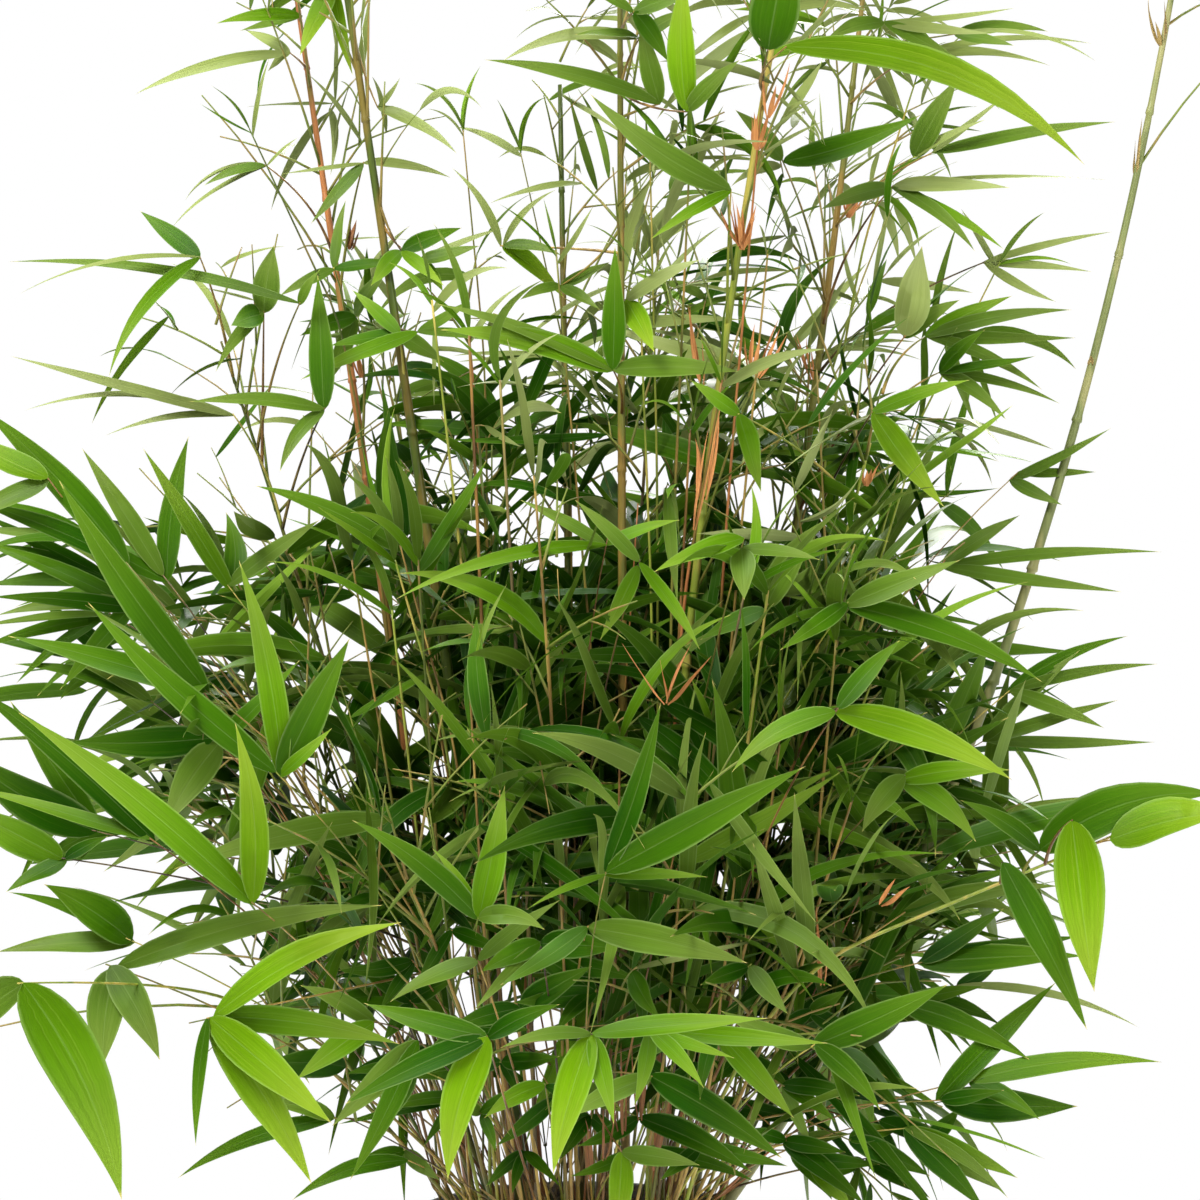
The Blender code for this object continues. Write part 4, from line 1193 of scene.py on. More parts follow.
    (("arch_left", 0.7), 325, 408, -0.1, (318, 275, 26, 1, MID), (189, 402, 17, 8, DULL),
        (280, 472, 15, 10, DULL)),
    (("arch_left", 0.7), 233, 414, -0.06, (10, 356, 12, 16, GREY), (24, 411, 9, 26, GREY),
        (105, 436, 8, 14, GREY)),
    (("tall_red", 0.72), 364, 162, 0.0, (451, 178, 11, 14, GREY), (311, 224, 14, 10, DULL),
        (282, 174, 5, 6, GREY)),
    (("tall_left", 0.9), 378, 108, -0.03, (457, 154, 14, 30, GREY), (400, 78, 6, 2, GREY)),
    (("tall_red", 0.74), 265, 165, 0.0, (204, 186, 11, 26, DULL), (172, 228, 7, 34, GREY),
        (298, 138, 5, 10, GREY)),
    (("tall_left", 0.76), 402, 252, -0.04, (462, 228, 18, 6, MID), (371, 286, 20, 8, FRESH),
        (444, 286, 14, 20, BRIGHT), (430, 240, 12, 4, GREY)),
)
SHOOTS = tuple(
    Shoot(start, (over, down), depth, leaves)
    for start, over, down, depth, *leaves in SHOOT_ROWS
)
SHOOT_SKINS = ("lime", "olive", "straw", "brown", "dark")
SHOOT_SEED = 71
SHOOT_RADIUS = 0.00095
SIDE_SHOOT_RADIUS = 0.0011  # of a shoot that starts on a cane
RADIUS_STRAYS = (0.8, 1.15)
SHOOT_TAPER = 0.6
SHOOT_RINGS = 15
SHOWN_FROM = 9  # the ring from which a shoot is kept in sight
ROOT_STRAY = 0.25
THIN_SIDES = 7
# How wide a strip of the view's grid stays free of the crown's leaves
LEAF_IN_SIGHT = 0.8  # of the leaf's width
SHOOT_IN_SIGHT = 4.0
STEM_IN_SIGHT = 5.0
CANE_IN_SIGHT = 9.0
FAN_IN_SIGHT = 16.0
SHOOT_BEND = (0.30, 0.30, 0.62)  # of its run, where a shoot bends over
BEND_STRAY = 0.04
FOOT_RADIUS = 0.082
FOOT_SHARES = (0.45, 1.0)
FOOT_STRAY = 0.05
LOW_STARTS = (0.12, 0.3)  # shares of the cane that such a shoot starts from
TIP_DEPTHS = (-0.025, 0.02)  # how far a leaf's tip strays in depth from its hub
FRONT_FACE = np.array([0.0, -1.0, 0.35])  # where the front's leaves look
FACE_TURN = 0.22
MEAN_FALL = 0.4545  # of a blade's droop, over its whole length
FALL_SHORTENING = 0.044
FRONT_FOLDS = (0.08, 0.4)
FRONT_TWIST, FRONT_BOW = 0.2, 0.032
STEM_LEAF = 0.085
STEM_FOOT = 0.085
STEM_TAPER = 0.45
STEM_SHARE = 0.85  # of its radius in the list
STEM_BEND_ROWS = 12
LOW_DEEPER = 0.02
LONGEST_RUN_ON = 0.6
STEM_SEED = 300
GREY_OVER = 400  # stems whose tops show over this bear a grey leaf
SHOOT_SPRAYS, STEM_SPRAYS = 50000, 60000  # first numbers of their sprays


class Stem(NamedTuple):
    """A bare thin stem that stands before the leaves between two places of the view's grid."""

    top: tuple
    low: tuple
    depth: float
    radius: float
    skin: str


RIGHT_BRANCH = Stem((1112, 836), (868, 938), -0.2, 0.0016, "lime")
STEMS = (
    Stem((469, 330), (485, 693), -0.13, 0.0017, "brown"),
    Stem((500, 380), (517, 665), -0.14, 0.0016, "purple"),
    Stem((432, 300), (470, 640), -0.1, 0.0014, "lime"),
    Stem((556, 250), (590, 640), -0.08, 0.0012, "olive"),
    Stem((746, 585), (722, 700), -0.16, 0.0014, "purple"),
    Stem((712, 720), (700, 860), -0.16, 0.0014, "olive"),
    Stem((836, 640), (812, 900), -0.16, 0.0015, "olive"),
    Stem((880, 660), (842, 760), -0.14, 0.0013, "lime"),
    Stem((852, 800), (818, 905), -0.18, 0.0014, "straw"),
    Stem((768, 590), (752, 712), -0.17, 0.0015, "lime"),
    Stem((690, 430), (680, 620), -0.12, 0.0014, "brown"),
    Stem((640, 300), (650, 560), -0.1, 0.0012, "lime"),
    Stem((395, 560), (436, 700), -0.15, 0.0013, "lime"),
    Stem((400, 545), (446, 712), -0.15, 0.0011, "straw"),
    Stem((500, 790), (506, 900), -0.2, 0.0012, "straw"),
    Stem((548, 640), (556, 800), -0.16, 0.0012, "olive"),
    Stem((620, 740), (618, 880), -0.18, 0.0012, "brown"),
    Stem((780, 740), (764, 860), -0.18, 0.0013, "straw"),
    Stem((418, 560), (440, 900), -0.16, 0.0015, "green"),
    Stem((392, 610), (420, 860), -0.14, 0.0014, "lime"),
    Stem((470, 690), (482, 900), -0.18, 0.0013, "straw"),
    Stem((352, 560), (392, 800), -0.12, 0.0013, "olive"),
    Stem((560, 880), (566, 1010), -0.18, 0.0013, "straw"),
    Stem((682, 860), (668, 1020), -0.18, 0.0013, "olive"),
    Stem((738, 850), (716, 1040), -0.16, 0.0014, "straw"),
    Stem((650, 160), (656, 420), -0.06, 0.0011, "lime"),
    Stem((690, 150), (676, 470), -0.1, 0.0013, "olive"),
    Stem((764, 70), (736, 400), -0.11, 0.0012, "red"),
    Stem((768, 250), (742, 520), -0.1, 0.0012, "straw"),
    Stem((722, 380), (690, 560), -0.13, 0.0014, "red"),
    Stem((905, 480), (868, 600), -0.08, 0.0012, "lime"),
    Stem((1000, 262), (920, 420), -0.02, 0.001, "lime"),
    Stem((915, 82), (868, 230), 0.0, 0.0011, "lime"),
    Stem((463, 130), (482, 330), -0.02, 0.0009, "olive"),
    Stem((520, 150), (560, 330), -0.02, 0.0008, "olive"),
    Stem((250, 130), (330, 300), -0.04, 0.001, "green"),
    RIGHT_BRANCH,
)
CANES_IN_SIGHT = (
    ("tall_left", 0.40, 1.00), ("tall_red", 0.40, 1.00), ("tall_centre", 0.24, 0.95),
    ("tall_front", 0.40, 0.95), ("tall_right", 0.62, 0.95), ("tall_far_right", 0.40, 1.00),
)


def stem_paths():
    """Each stem's path: a bend from its foot to its low place, then straight up to its top.

    The bend is (1 - s)^2 foot + 2 s (1 - s) m + s^2 low, with m on the upper stretch run on.
    """
    paths = []
    s = np.linspace(0, 1, STEM_BEND_ROWS)[:, None]
    for stem in STEMS:
        top, low = seen(*stem.top, stem.depth), seen(*stem.low, stem.depth + LOW_DEEPER)
        reach = min(STEM_FOOT, np.linalg.norm(low[:2]))
        foot = unit(low * (1, 1, 0)) * reach + UP * (SOIL_LEVEL - ROOTED)
        run_on = min(0.5 * (low[2] - foot[2]) / (top[2] - low[2]), LONGEST_RUN_ON)
        lower = bent(foot, low + (low - top) * run_on, low, s)
        paths.append(np.concatenate([lower, low + (top - low) * s[2:]]))
    return paths


def nearest_start(foot, share):
    """The point at this share of the cane whose foot is the nearest."""
    gaps = [np.linalg.norm(foot[:2] - cane.foot) for cane in CANES]
    return cane_point(CANES[int(np.argmin(gaps))], share)


def shoot_start(shoot, number, hub, stems, rng):
    """Where a shoot starts, and its radius there. From the soil, every second one joins a cane."""
    name, share = shoot.start
    if name == "right_branch":
        path = stems[STEMS.index(RIGHT_BRANCH)]
        return path[round(share * (len(path) - 1))], SIDE_SHOOT_RADIUS
    if name in CANE_NAMED:
        return cane_point(CANE_NAMED[name], share), SIDE_SHOOT_RADIUS
    way = unit(hub * (1, 1, 0) + rng.uniform(-FOOT_STRAY, FOOT_STRAY, 3) * (1, 1, 0))
    start = way * FOOT_RADIUS * rng.uniform(*FOOT_SHARES) + UP * (SOIL_LEVEL - ROOTED)
    radius = SHOOT_RADIUS * rng.uniform(*RADIUS_STRAYS)
    if number % 2:
        start = nearest_start(start, rng.uniform(*LOW_STARTS))
    return start, radius


def front_leaf(root, tip, width, arch, spray, rng):
    """One row of Leaves: a blade from its root to where its tip shows.

    With chord slope p and arch d it starts at the slope p + 0.4545 d, because the mean of s^1.2
    is 1 / 2.2, and its length is its chord times 1 + 0.044 d^2.
    """
    chord = tip - root
    length = np.linalg.norm(chord)
    droop = math.radians(arch)
    slope = math.asin(chord[2] / length) + MEAN_FALL * droop
    out = math.cos(slope) * unit(chord * (1, 1, 0)) + math.sin(slope) * UP
    face = unit(FRONT_FACE + rng.normal(0, FACE_TURN, 3))
    return (
        root, out, roll_to_face(out, face), length * (1 + FALL_SHORTENING * droop**2), width,
        droop, rng.uniform(*FRONT_FOLDS), rng.normal(0, FRONT_TWIST), rng.normal(0, FRONT_BOW),
        spray, 1.0,
    )


def front_shoots():
    """The front's shoots and stems as tubes by skin, with their leaves, tones and lines in sight.

    A shoot's path is (1 - s)^2 start + 2 s (1 - s) bend + s^2 hub, its bend over its start.
    """
    rng = np.random.default_rng(SHOOT_SEED)
    stems = stem_paths()
    by_skin, rows, tones = {}, [], []
    lines, widths = [], []

    def keep_in_sight(first, last, width):
        """Lists straight pieces, and how wide a strip the crown's leaves leave free for them."""
        lines.extend(zip(first, last))
        widths.extend([width] * len(first))

    s = np.linspace(0, 1, SHOOT_RINGS)[:, None]
    for k, shoot in enumerate(SHOOTS):
        hub = seen(*shoot.hub, shoot.depth)
        start, radius = shoot_start(shoot, k, hub, stems, rng)
        run = hub - start
        stray = rng.normal(0, BEND_STRAY, 3) * (1, 1, 0) * np.linalg.norm(run)
        path = bent(start, start + run * SHOOT_BEND + stray, hub, s)
        radii = radius * (1 - SHOOT_TAPER * s[:, 0])
        skin = SHOOT_SKINS[k % len(SHOOT_SKINS)]
        by_skin.setdefault(skin, []).append(tubes(path[None], radii[None], THIN_SIDES))
        scale = 1 - shoot.depth / VIEW_PLACE[1]
        for over, down, width, arch, tone in shoot.leaves:
            tip = seen(over, down, shoot.depth + rng.uniform(*TIP_DEPTHS))
            root = hub + (path[-2] - hub) * rng.uniform(0.0, ROOT_STRAY)
            rows.append(front_leaf(root, tip, width * GRID_STEP * scale, arch, SHOOT_SPRAYS + k, rng))
            tones.append(tone)
            keep_in_sight([root], [tip], LEAF_IN_SIGHT * width)
        keep_in_sight(path[SHOWN_FROM:-1], path[SHOWN_FROM + 1:], SHOOT_IN_SIGHT)
    leaves = [Leaves(*(np.array(column) for column in zip(*rows)))]
    for k, (stem, path) in enumerate(zip(STEMS, stems)):
        way = unit(path[-1] - path[-3])
        length = np.linalg.norm(path[-1:] - path[-3:-2], axis=1)
        end = Twigs(path[-3:-2], way[None], length, *np.zeros((1, 1)), *np.ones((2, 1)))
        if stem is not RIGHT_BRANCH:
            leaves.append(leaves_on(end, 3, STEM_LEAF, STEM_SEED + k, STEM_SPRAYS + k))
            tones.extend([DULL, FRESH, GREY if stem.top[1] < GREY_OVER else MID])
        radii = STEM_SHARE * stem.radius * (1 - STEM_TAPER * np.linspace(0, 1, len(path)))
        by_skin.setdefault(stem.skin, []).append(tubes(path[None], radii[None], THIN_SIDES))
        straight = path[STEM_BEND_ROWS::2]
        keep_in_sight(straight[:-1], straight[1:], STEM_IN_SIGHT)
    for fan in FANS:
        base = fan_base(fan)
        keep_in_sight([base], [base + UP * fan.length], FAN_IN_SIGHT)
    for name, low, high in CANES_IN_SIGHT:
        path = cane_points(CANE_NAMED[name], np.linspace(low, high, 9))
        keep_in_sight(path[:-1], path[1:], CANE_IN_SIGHT)
    return by_skin, stack(leaves), np.array(tones), np.array(lines), np.array(widths)


# ================================================================ growing the plant

THICKET_COUNT = 32
THICKET_SEED = 7
SPARSE_UNDER = 0.20  # few leaves hang lower than this, and all are kept from the next height up
FULL_FROM = 0.29
SPARSE_SHARE = 0.52
SEEN_WHOLE = tuple(name for name, _, _ in CANES_IN_SIGHT)
TWIG_SEED = 3
THINNING_SEED = 17
TONE_SEED = 21
TONE_STEPS = (0.44, 0.66, 0.90, 1.08)  # of painted light, between one tone and the next
PIECE_LEAVES = 1200
ON_CANE = 0.001  # a limb that starts nearer to a cane than this grows on it
STUB = 0.003
COVER_KEPT = 0.04  # of the leaves that stand before the front's own
COVER_MARGIN = 3.0  # steps of the view's grid
COVER_DEPTH = 0.01  # a leaf this far behind may still cover
STEEP_SPRAYS, TWIG_SPRAYS, TIP_SPRAYS = 5000, 10000, 30000  # first numbers of each kind's sprays


class Opening(NamedTuple):
    """An oval of the view's grid through which the crown is thin."""

    across: float
    down: float
    half_width: float
    half_height: float
    kept: float


OPENINGS = tuple(
    Opening(*row)
    for row in (
        (60, 60, 190, 170, 0.0), (110, 320, 190, 130, 0.1), (225, 475, 115, 80, 0.03),
        (250, 560, 60, 40, 0.55), (240, 160, 62, 100, 0.22), (440, 110, 80, 210, 0.04),
        (540, 190, 80, 150, 0.07), (630, 260, 60, 110, 0.6), (740, 280, 90, 70, 0.6),
        (470, 350, 90, 80, 0.36), (400, 404, 6, 4, 0.0), (540, 440, 150, 60, 0.6), (330, 470, 50, 60, 0.4),
        (860, 350, 60, 50, 0.4), (1120, 110, 180, 150, 0.15), (1160, 90, 60, 130, 0.0),
        (1050, 750, 50, 50, 0.4), (960, 190, 80, 120, 0.75), (1120, 330, 130, 140, 0.16),
        (950, 450, 70, 60, 0.8), (960, 560, 50, 70, 0.35), (1170, 570, 90, 130, 0.06),
        (1110, 700, 60, 70, 0.6), (1160, 820, 80, 280, 0.12), (300, 650, 110, 60, 0.4),
        (150, 880, 110, 80, 0.2), (60, 740, 80, 50, 0.4), (110, 970, 160, 100, 0.05),
        (150, 1070, 100, 90, 0.0), (120, 1170, 130, 80, 0.0), (300, 1150, 120, 70, 0.1),
        (340, 1050, 80, 50, 0.25), (400, 1150, 80, 50, 0.3), (520, 1180, 120, 40, 0.3),
        (690, 1180, 60, 30, 0.4), (960, 1020, 90, 80, 0.08), (1050, 960, 60, 70, 0.4),
        (1060, 1060, 80, 110, 0.3), (1130, 1030, 80, 130, 0.0), (1120, 1180, 130, 60, 0.05),
    )
)


GAP_MARGIN = 6.0  # how far the leaves keep from a gap's edge
GAPS = tuple(  # small ovals through which the white behind the plant shows
    Opening(over, down, half_width + GAP_MARGIN, half_height + GAP_MARGIN, 0.0)
    for over, down, half_width, half_height in (
        (552, 514, 22, 14), (638, 465, 22, 18), (763, 500, 24, 22), (450, 479, 12, 14), (574, 560, 14, 7),
        (395, 716, 14, 10), (411, 734, 7, 16), (444, 769, 7, 9), (569, 842, 8, 7), (783, 835, 9, 8),
        (394, 950, 16, 8), (456, 952, 8, 13), (466, 1000, 13, 15), (564, 1012, 8, 7), (722, 878, 8, 8),
        (726, 988, 6, 14), (746, 1032, 10, 9), (722, 1080, 13, 18), (422, 828, 7, 6), (324, 748, 10, 14),
        (347, 785, 8, 10), (330, 640, 14, 12), (372, 610, 10, 16), (300, 800, 10, 8), (265, 865, 14, 10),
    )
)


def openness(leaves):
    """The smallest kept share of the openings that a leaf reaches into, and 1 outside them."""
    points, _ = blade_line(leaves, np.linspace(0.08, 0.96, 11))
    flat = shown(points)
    share = np.ones(len(points))
    for hole in OPENINGS + GAPS:
        off = (flat - (hole.across, hole.down)) / (hole.half_width, hole.half_height)
        inside = ((off * off).sum(-1) < 1).any(1)
        share = np.where(inside, np.minimum(share, hole.kept), share)
    return share


THICKET_FOOT = 0.088
THICKET_REACHES = (1.7, 3.0)
THICKET_RISES = (0.16, 0.46)
THICKET_RADII = (0.0007, 0.0012)
THICKET_STRAY = 0.3
THICKET_SWAY = 0.7
THICKET_TALLEST, THICKET_FALL = 1.12, 0.5  # the outer ones are lower
THICKET_CANE_SEED = 900
THICKET_SKINS = ("straw", "olive", "dark", "brown", "red", "green")


def thicket_canes():
    """Thin young shoots between the canes: feet in a disc, tops fanned out over it."""
    rng = np.random.default_rng(THICKET_SEED)
    made = []
    for k in range(THICKET_COUNT):
        turn = k * GOLDEN_ANGLE + THICKET_STRAY * rng.uniform(-1, 1)
        foot = THICKET_FOOT * math.sqrt((k + 0.5) / THICKET_COUNT)
        reach = foot * rng.uniform(*THICKET_REACHES) + rng.uniform(0.0, 0.05)
        rise = rng.uniform(*THICKET_RISES) * (THICKET_TALLEST - THICKET_FALL * k / THICKET_COUNT)
        way = np.array([math.cos(turn), math.sin(turn)])
        sway = turn + rng.uniform(-THICKET_SWAY, THICKET_SWAY)
        top = (reach * math.cos(sway), reach * math.sin(sway), SOIL_LEVEL + rise)
        skin = THICKET_SKINS[int(rng.integers(len(THICKET_SKINS)))]
        made.append(
            Cane(
                f"shoot_{k + 1}", tuple(way * foot), top, 0.004, 0.01, rng.uniform(*THICKET_RADII),
                0.45, 5, 0.8, THICKET_CANE_SEED + k, skin, 0.9,
            )
        )
    return made


def last_height(number, cane, starts, leaves):
    """The height at which a cane last bears a limb or, where its tip bears leaves, no limit."""
    if cane.name in SEEN_WHOLE or (leaves.spray == TIP_SPRAYS + number).any():
        return math.inf
    path = cane_points(cane, np.linspace(cane.leafy_from, 1, 60))
    gaps = distances(starts, path[:-1], path[1:]).min(1)
    own = starts[gaps < ON_CANE, 2]
    return own.max() + STUB if len(own) else cane_point(cane, cane.leafy_from)[2]


def grow(thicket, lines, widths):
    """All branches, twigs and leaves. Each leaf knows the spray that it belongs to."""
    everything = [*CANES, *thicket]
    boughs = stack([branches(cane) for cane in everything])
    steep = stack([between(cane) for cane in CANES])
    tips = stack([stem_tip(cane) for cane in everything])
    limbs = stack([boughs, steep])
    twigs = finer(limbs, TWIG_SEED)
    leaves = stack(
        [
            leaves_on(bearers, count, LEAF_LENGTH * size, seed, first_spray)
            for bearers, count, size, seed, first_spray in (
                (boughs, 8, 1.0, 5, 0),
                (steep, 5, 0.80, 9, STEEP_SPRAYS),
                (twigs, 7, 0.90, 6, TWIG_SPRAYS),
                (tips, 4, 0.90, 8, TIP_SPRAYS),
            )
        ]
    )
    rng = np.random.default_rng(THINNING_SEED)
    lot = rng.uniform(0, 1, len(leaves.length))
    low = SPARSE_SHARE + (1 - SPARSE_SHARE) * eased(leaves.root[:, 2], SPARSE_UNDER, FULL_FROM)
    kept = (lot < np.minimum(leaves.keep, openness(leaves)) * low) & fitting(leaves)
    leaves = leaves.taken(kept)
    covers = covering(leaves, lines, widths)
    leaves = leaves.taken(~covers | (rng.uniform(0, 1, len(covers)) < COVER_KEPT))
    # A branch stays where it or the twig on it still bears leaves
    numbers = [np.arange(len(boughs.length)), STEEP_SPRAYS + np.arange(len(steep.length))]
    bears = np.isin(TWIG_SPRAYS + np.arange(len(twigs.length)), leaves.spray)
    bears_some = np.isin(np.concatenate(numbers), leaves.spray) | bears
    starts = limbs.start[bears_some]
    tops = {cane.name: last_height(k, cane, starts, leaves) for k, cane in enumerate(everything)}
    return limbs.taken(bears_some), twigs.taken(bears), leaves, tops


def tone_of(leaves):
    """Deals a tone to every spray: deep inside the crown as painted shade, and paler towards its top and
    outside as painted light.

    The painted light is 0.66 lot + 0.34 out + 0.30 height, each from 0 to 1, so a random share of it is the
    sprays' own tone, and high sprays may be grey.
    """
    sprays, place = np.unique(leaves.spray, return_inverse=True)
    lot, dull = np.random.default_rng(TONE_SEED).uniform(0, 1, (2, len(sprays)))[:, place]
    height = (leaves.root[:, 2] - SOIL_LEVEL) / (cad_high[2] - SOIL_LEVEL)
    out = eased(np.linalg.norm(leaves.root[:, :2], axis=1), 0.09, 0.29)
    # painted light: lighter tones outside and high in the crown, darker inside it
    light = 0.66 * lot + 0.34 * out + 0.30 * eased(height, 0.35, 0.75)
    tones = np.digitize(light, TONE_STEPS)
    return np.where(dull < 0.85 * eased(height, 0.40, 0.74), GREY, tones)


def make_leaves(grown, front, front_tones):
    """One piece or two for each tone. The first stands for all masses of foliage."""
    tones = np.concatenate([tone_of(grown), front_tones])
    leaves = stack([grown, front])
    masses = [f"foliage_{cane.name}" for cane in CANES]
    for t, tone in enumerate(TONES):
        chosen = leaves.taken(tones == t)
        name = f"{tone.name} leaf"
        top = leaf_finish(name, tone.top, tone.pale, tone.glow, tone.gloss)
        below = leaf_finish(f"{name} underside", tone.below, tone.pale, tone.glow, 0.05, 0.6, 0.25)
        for part, start in enumerate(range(0, len(chosen.length), PIECE_LEAVES)):
            some = chosen.taken(slice(start, start + PIECE_LEAVES))
            forms, blade_map = leaf_forms(some)
            nodes = masses if t == 0 and part == 0 else ()
            add_piece(
                f"leaves_{tone.name}_{part + 1}", forms, (top, below), nodes,
                underside_faces(len(some.length)), blade_map, 50,
            )


NODE_SPACING = 0.088
NODE_SWELL = 1.26
# Distances along the cane from a node, and the share of its swelling there
NODE_RIDGE = (
    (-0.005, 0.0), (-0.0016, -0.25), (-0.0007, 1.0), (0.0009, 0.8), (0.0035, 0.1), (0.006, 0.0),
)
NODE_STRAY = 0.25
TAPER_POWER = 1.6
CLOSEST = 0.0002  # rings of a cane nearer than this are one
FOOT_FLARE = 1.15
STOUT_FROM = 0.0026  # canes thinner than this are thinner still where they show
THIN_SHARE = 0.62
ROUND_FROM, ROUND_SIDES = 0.0022, 12


def culm_path(cane):
    """Shares and radii with a raised ridge at every node, just over the line where a sheath sat."""
    length = np.linalg.norm(np.array(cane.top) - (*cane.foot, SOIL_LEVEL))
    count = max(3, round(length / NODE_SPACING))
    rng = np.random.default_rng([cane.seed, 4])
    nodes = (np.arange(1, count) + NODE_STRAY * rng.uniform(-1, 1, count - 1)) / count
    shares, swells = [np.linspace(0, 1, 3 * count)], [np.zeros(3 * count)]
    for shift, swell in NODE_RIDGE:
        shares.append(nodes + shift / length)
        swells.append(np.full(len(nodes), swell))
    shares, swells = np.concatenate(shares), np.concatenate(swells)
    order = np.argsort(shares)
    shares, swells = shares[order], swells[order]
    keep = np.concatenate([[True], np.diff(shares) > CLOSEST / length])
    shares, swells = shares[keep], swells[keep]
    stout = 1.0 if cane.radius > STOUT_FROM else THIN_SHARE
    taper = 1 - (1 - TIP_SHARE) * shares**TAPER_POWER
    return shares, stout * cane.radius * taper * (1 + (NODE_SWELL - 1) * swells)


def make_culms(thicket, front_by_skin, tops):
    """Every cane from soil to tip, one piece for each skin."""
    by_skin = {skin: [(None, form) for form in forms] for skin, forms in front_by_skin.items()}
    for cane in [*CANES, *thicket]:
        shares, radii = culm_path(cane)
        points = cane_points(cane, shares)
        foot = np.array([[*cane.foot, SOIL_LEVEL - ROOTED]])
        under = points[:, 2] < tops[cane.name]
        points = np.concatenate([foot, points[under]])
        radii = np.concatenate([[cane.radius * FOOT_FLARE], radii[under]])
        sides = ROUND_SIDES if cane.radius > ROUND_FROM else THIN_SIDES
        by_skin.setdefault(cane.skin, []).append((cane, tubes(points[None], radii[None], sides)))
    for skin, made in by_skin.items():
        nodes = [f"culm_{cane.name}" for cane, _ in made if cane is not None and cane in CANES]
        forms = join_forms([form for _, form in made])
        add_piece(f"culms_{skin}", forms, (cane_finish(f"{skin} cane", *SKINS[skin]),), nodes)


def make_twigs(boughs, twigs):
    """Branches and finer twigs, in one bark."""
    finish = cane_finish("twig bark", tint(98, 110, 40), tint(66, 76, 26), tint(124, 102, 52), 0.5)
    add_piece("branches", twig_forms(boughs, BRANCH_RADIUS), (finish,))
    add_piece("twigs", twig_forms(twigs, TWIG_RADIUS, 4), (finish,))


# ================================================================ pot and soil


def turned(name, profile, steps, material, nodes):
    """A profile of (radius, height) points turned round Z, closed at both poles."""
    radii, heights = np.array(profile[1:-1]).T
    turn = evenly(steps)
    x = radii[:, None] * np.cos(turn)
    y = radii[:, None] * np.sin(turn)
    rings = np.stack([x, y, np.repeat(heights[:, None], steps, axis=1)], axis=-1)
    first, last = (np.array([(0.0, 0.0, profile[end][1])]) for end in (0, -1))
    return add_piece(name, closed_forms(rings[None], first, last), (material,), nodes, sharp=35)


POT_RIM_BAND = 0.004  # how far the rim's band stands out
POT_TAPER = 0.023
POT_WALL = 0.003
POT_GROOVES = (0.056, 0.110)
POT_BEAD = 0.002


def pot_profile():
    """Up the outside from the foot, round the rim, and down the inside to the floor."""
    height, rim = pot_high[2], pot_high[0]
    top = rim - POT_RIM_BAND
    base = top - POT_TAPER

    def side(z):
        """The outer wall's radius at a height."""
        return base + (top - base) * z / height

    outer = [(0.0, 0.0), (base - 0.004, 0.0), (base - 0.0012, 0.0006), (base, 0.0022)]
    outer += [(side(z), z) for z in (0.02, 0.05)]
    for z in POT_GROOVES:
        for up, out in ((0.0, 0.0), (0.0008, 0.0009), (0.0024, 0.0009), (0.0032, 0.0)):
            outer.append((side(z) + out, z + up))
    outer += [(side(height - 0.019), height - 0.019), (side(height - 0.017), height - 0.017)]
    outer += [(rim - 0.0014, height - 0.0165), (rim - 0.0003, height - 0.0155), (rim, height - 0.014)]
    bead = [
        (rim - POT_BEAD + POT_BEAD * math.cos(a), height - POT_BEAD + POT_BEAD * math.sin(a))
        for a in np.linspace(0, 1.5, 5)
    ]
    inside = top - POT_WALL
    inner = [(inside + 0.0012, height), (inside + 0.0002, height - 0.0008), (inside, height - 0.003)]
    inner += [(side(z) - POT_WALL, z) for z in (0.16, 0.10, 0.05, 0.006)]
    return [*outer, *bead, *inner, (side(0.004) - POT_WALL - 0.002, 0.004), (0.0, 0.004)]


def make_pot():
    """The pot, outside and in."""
    turned("pot_body", pot_profile(), 128, plastic_finish(), ("pot",))


def soil_height(x, y):
    """The mix's surface: flat and a little higher at the wall, with lumps as sums of sines."""
    r = np.hypot(x, y)
    lumps = sum(
        a * np.sin(f * x + p) * np.sin(f * y * 1.13 + 2.1 * p)
        for a, f, p in ((0.0008, 90, 0.4), (0.0006, 170, 1.9), (0.0005, 310, 3.3), (0.0004, 560, 5.2))
    )
    brim = eased(r, 0.070, soil_high[0] - 0.001)
    return SOIL_LEVEL + 0.0016 + lumps * (1 - 0.5 * brim) + 0.0034 * brim


SOIL_STEPS, SOIL_RINGS = 120, 46
SOIL_DEPTH = 0.03


def make_soil():
    """The mix's lumpy surface, closed underneath."""
    turn = evenly(SOIL_STEPS)
    limit = soil_high[0] - 0.0006
    radius = limit * (np.arange(1, SOIL_RINGS + 1) / SOIL_RINGS)[::-1]
    x = radius[:, None] * np.cos(turn)
    y = radius[:, None] * np.sin(turn)
    surface = np.stack([x, y, soil_height(x, y)], axis=-1)
    skirt = surface[:1].copy()
    skirt[..., 2] = SOIL_LEVEL - SOIL_DEPTH
    rings = np.concatenate([skirt, surface])
    first = np.array([(0.0, 0.0, SOIL_LEVEL - SOIL_DEPTH)])
    last = np.array([(0.0, 0.0, float(soil_height(0.0, 0.0)))])
    forms = closed_forms(rings[None], first, last)
    add_piece("soil_surface", forms, (soil_finish(),), ("soil",))


CRUMBS = (  # name, number, seed, length, colours
    ("soil_crumbs", 900, 31, 0.0026, (tint(58, 42, 28), tint(30, 21, 15))),
    ("bark_chips", 240, 32, 0.0055, (tint(122, 84, 54), tint(72, 48, 32))),
)
CRUMB_EDGE = 0.006  # how far they stay from the wall
CRUMB_RISE = 0.0004  # how far their middles lie over the mix
CRUMB_LENGTHS, CRUMB_WIDTHS = (0.5, 1.3), (0.3, 0.6)
CRUMB_SIDES = 5


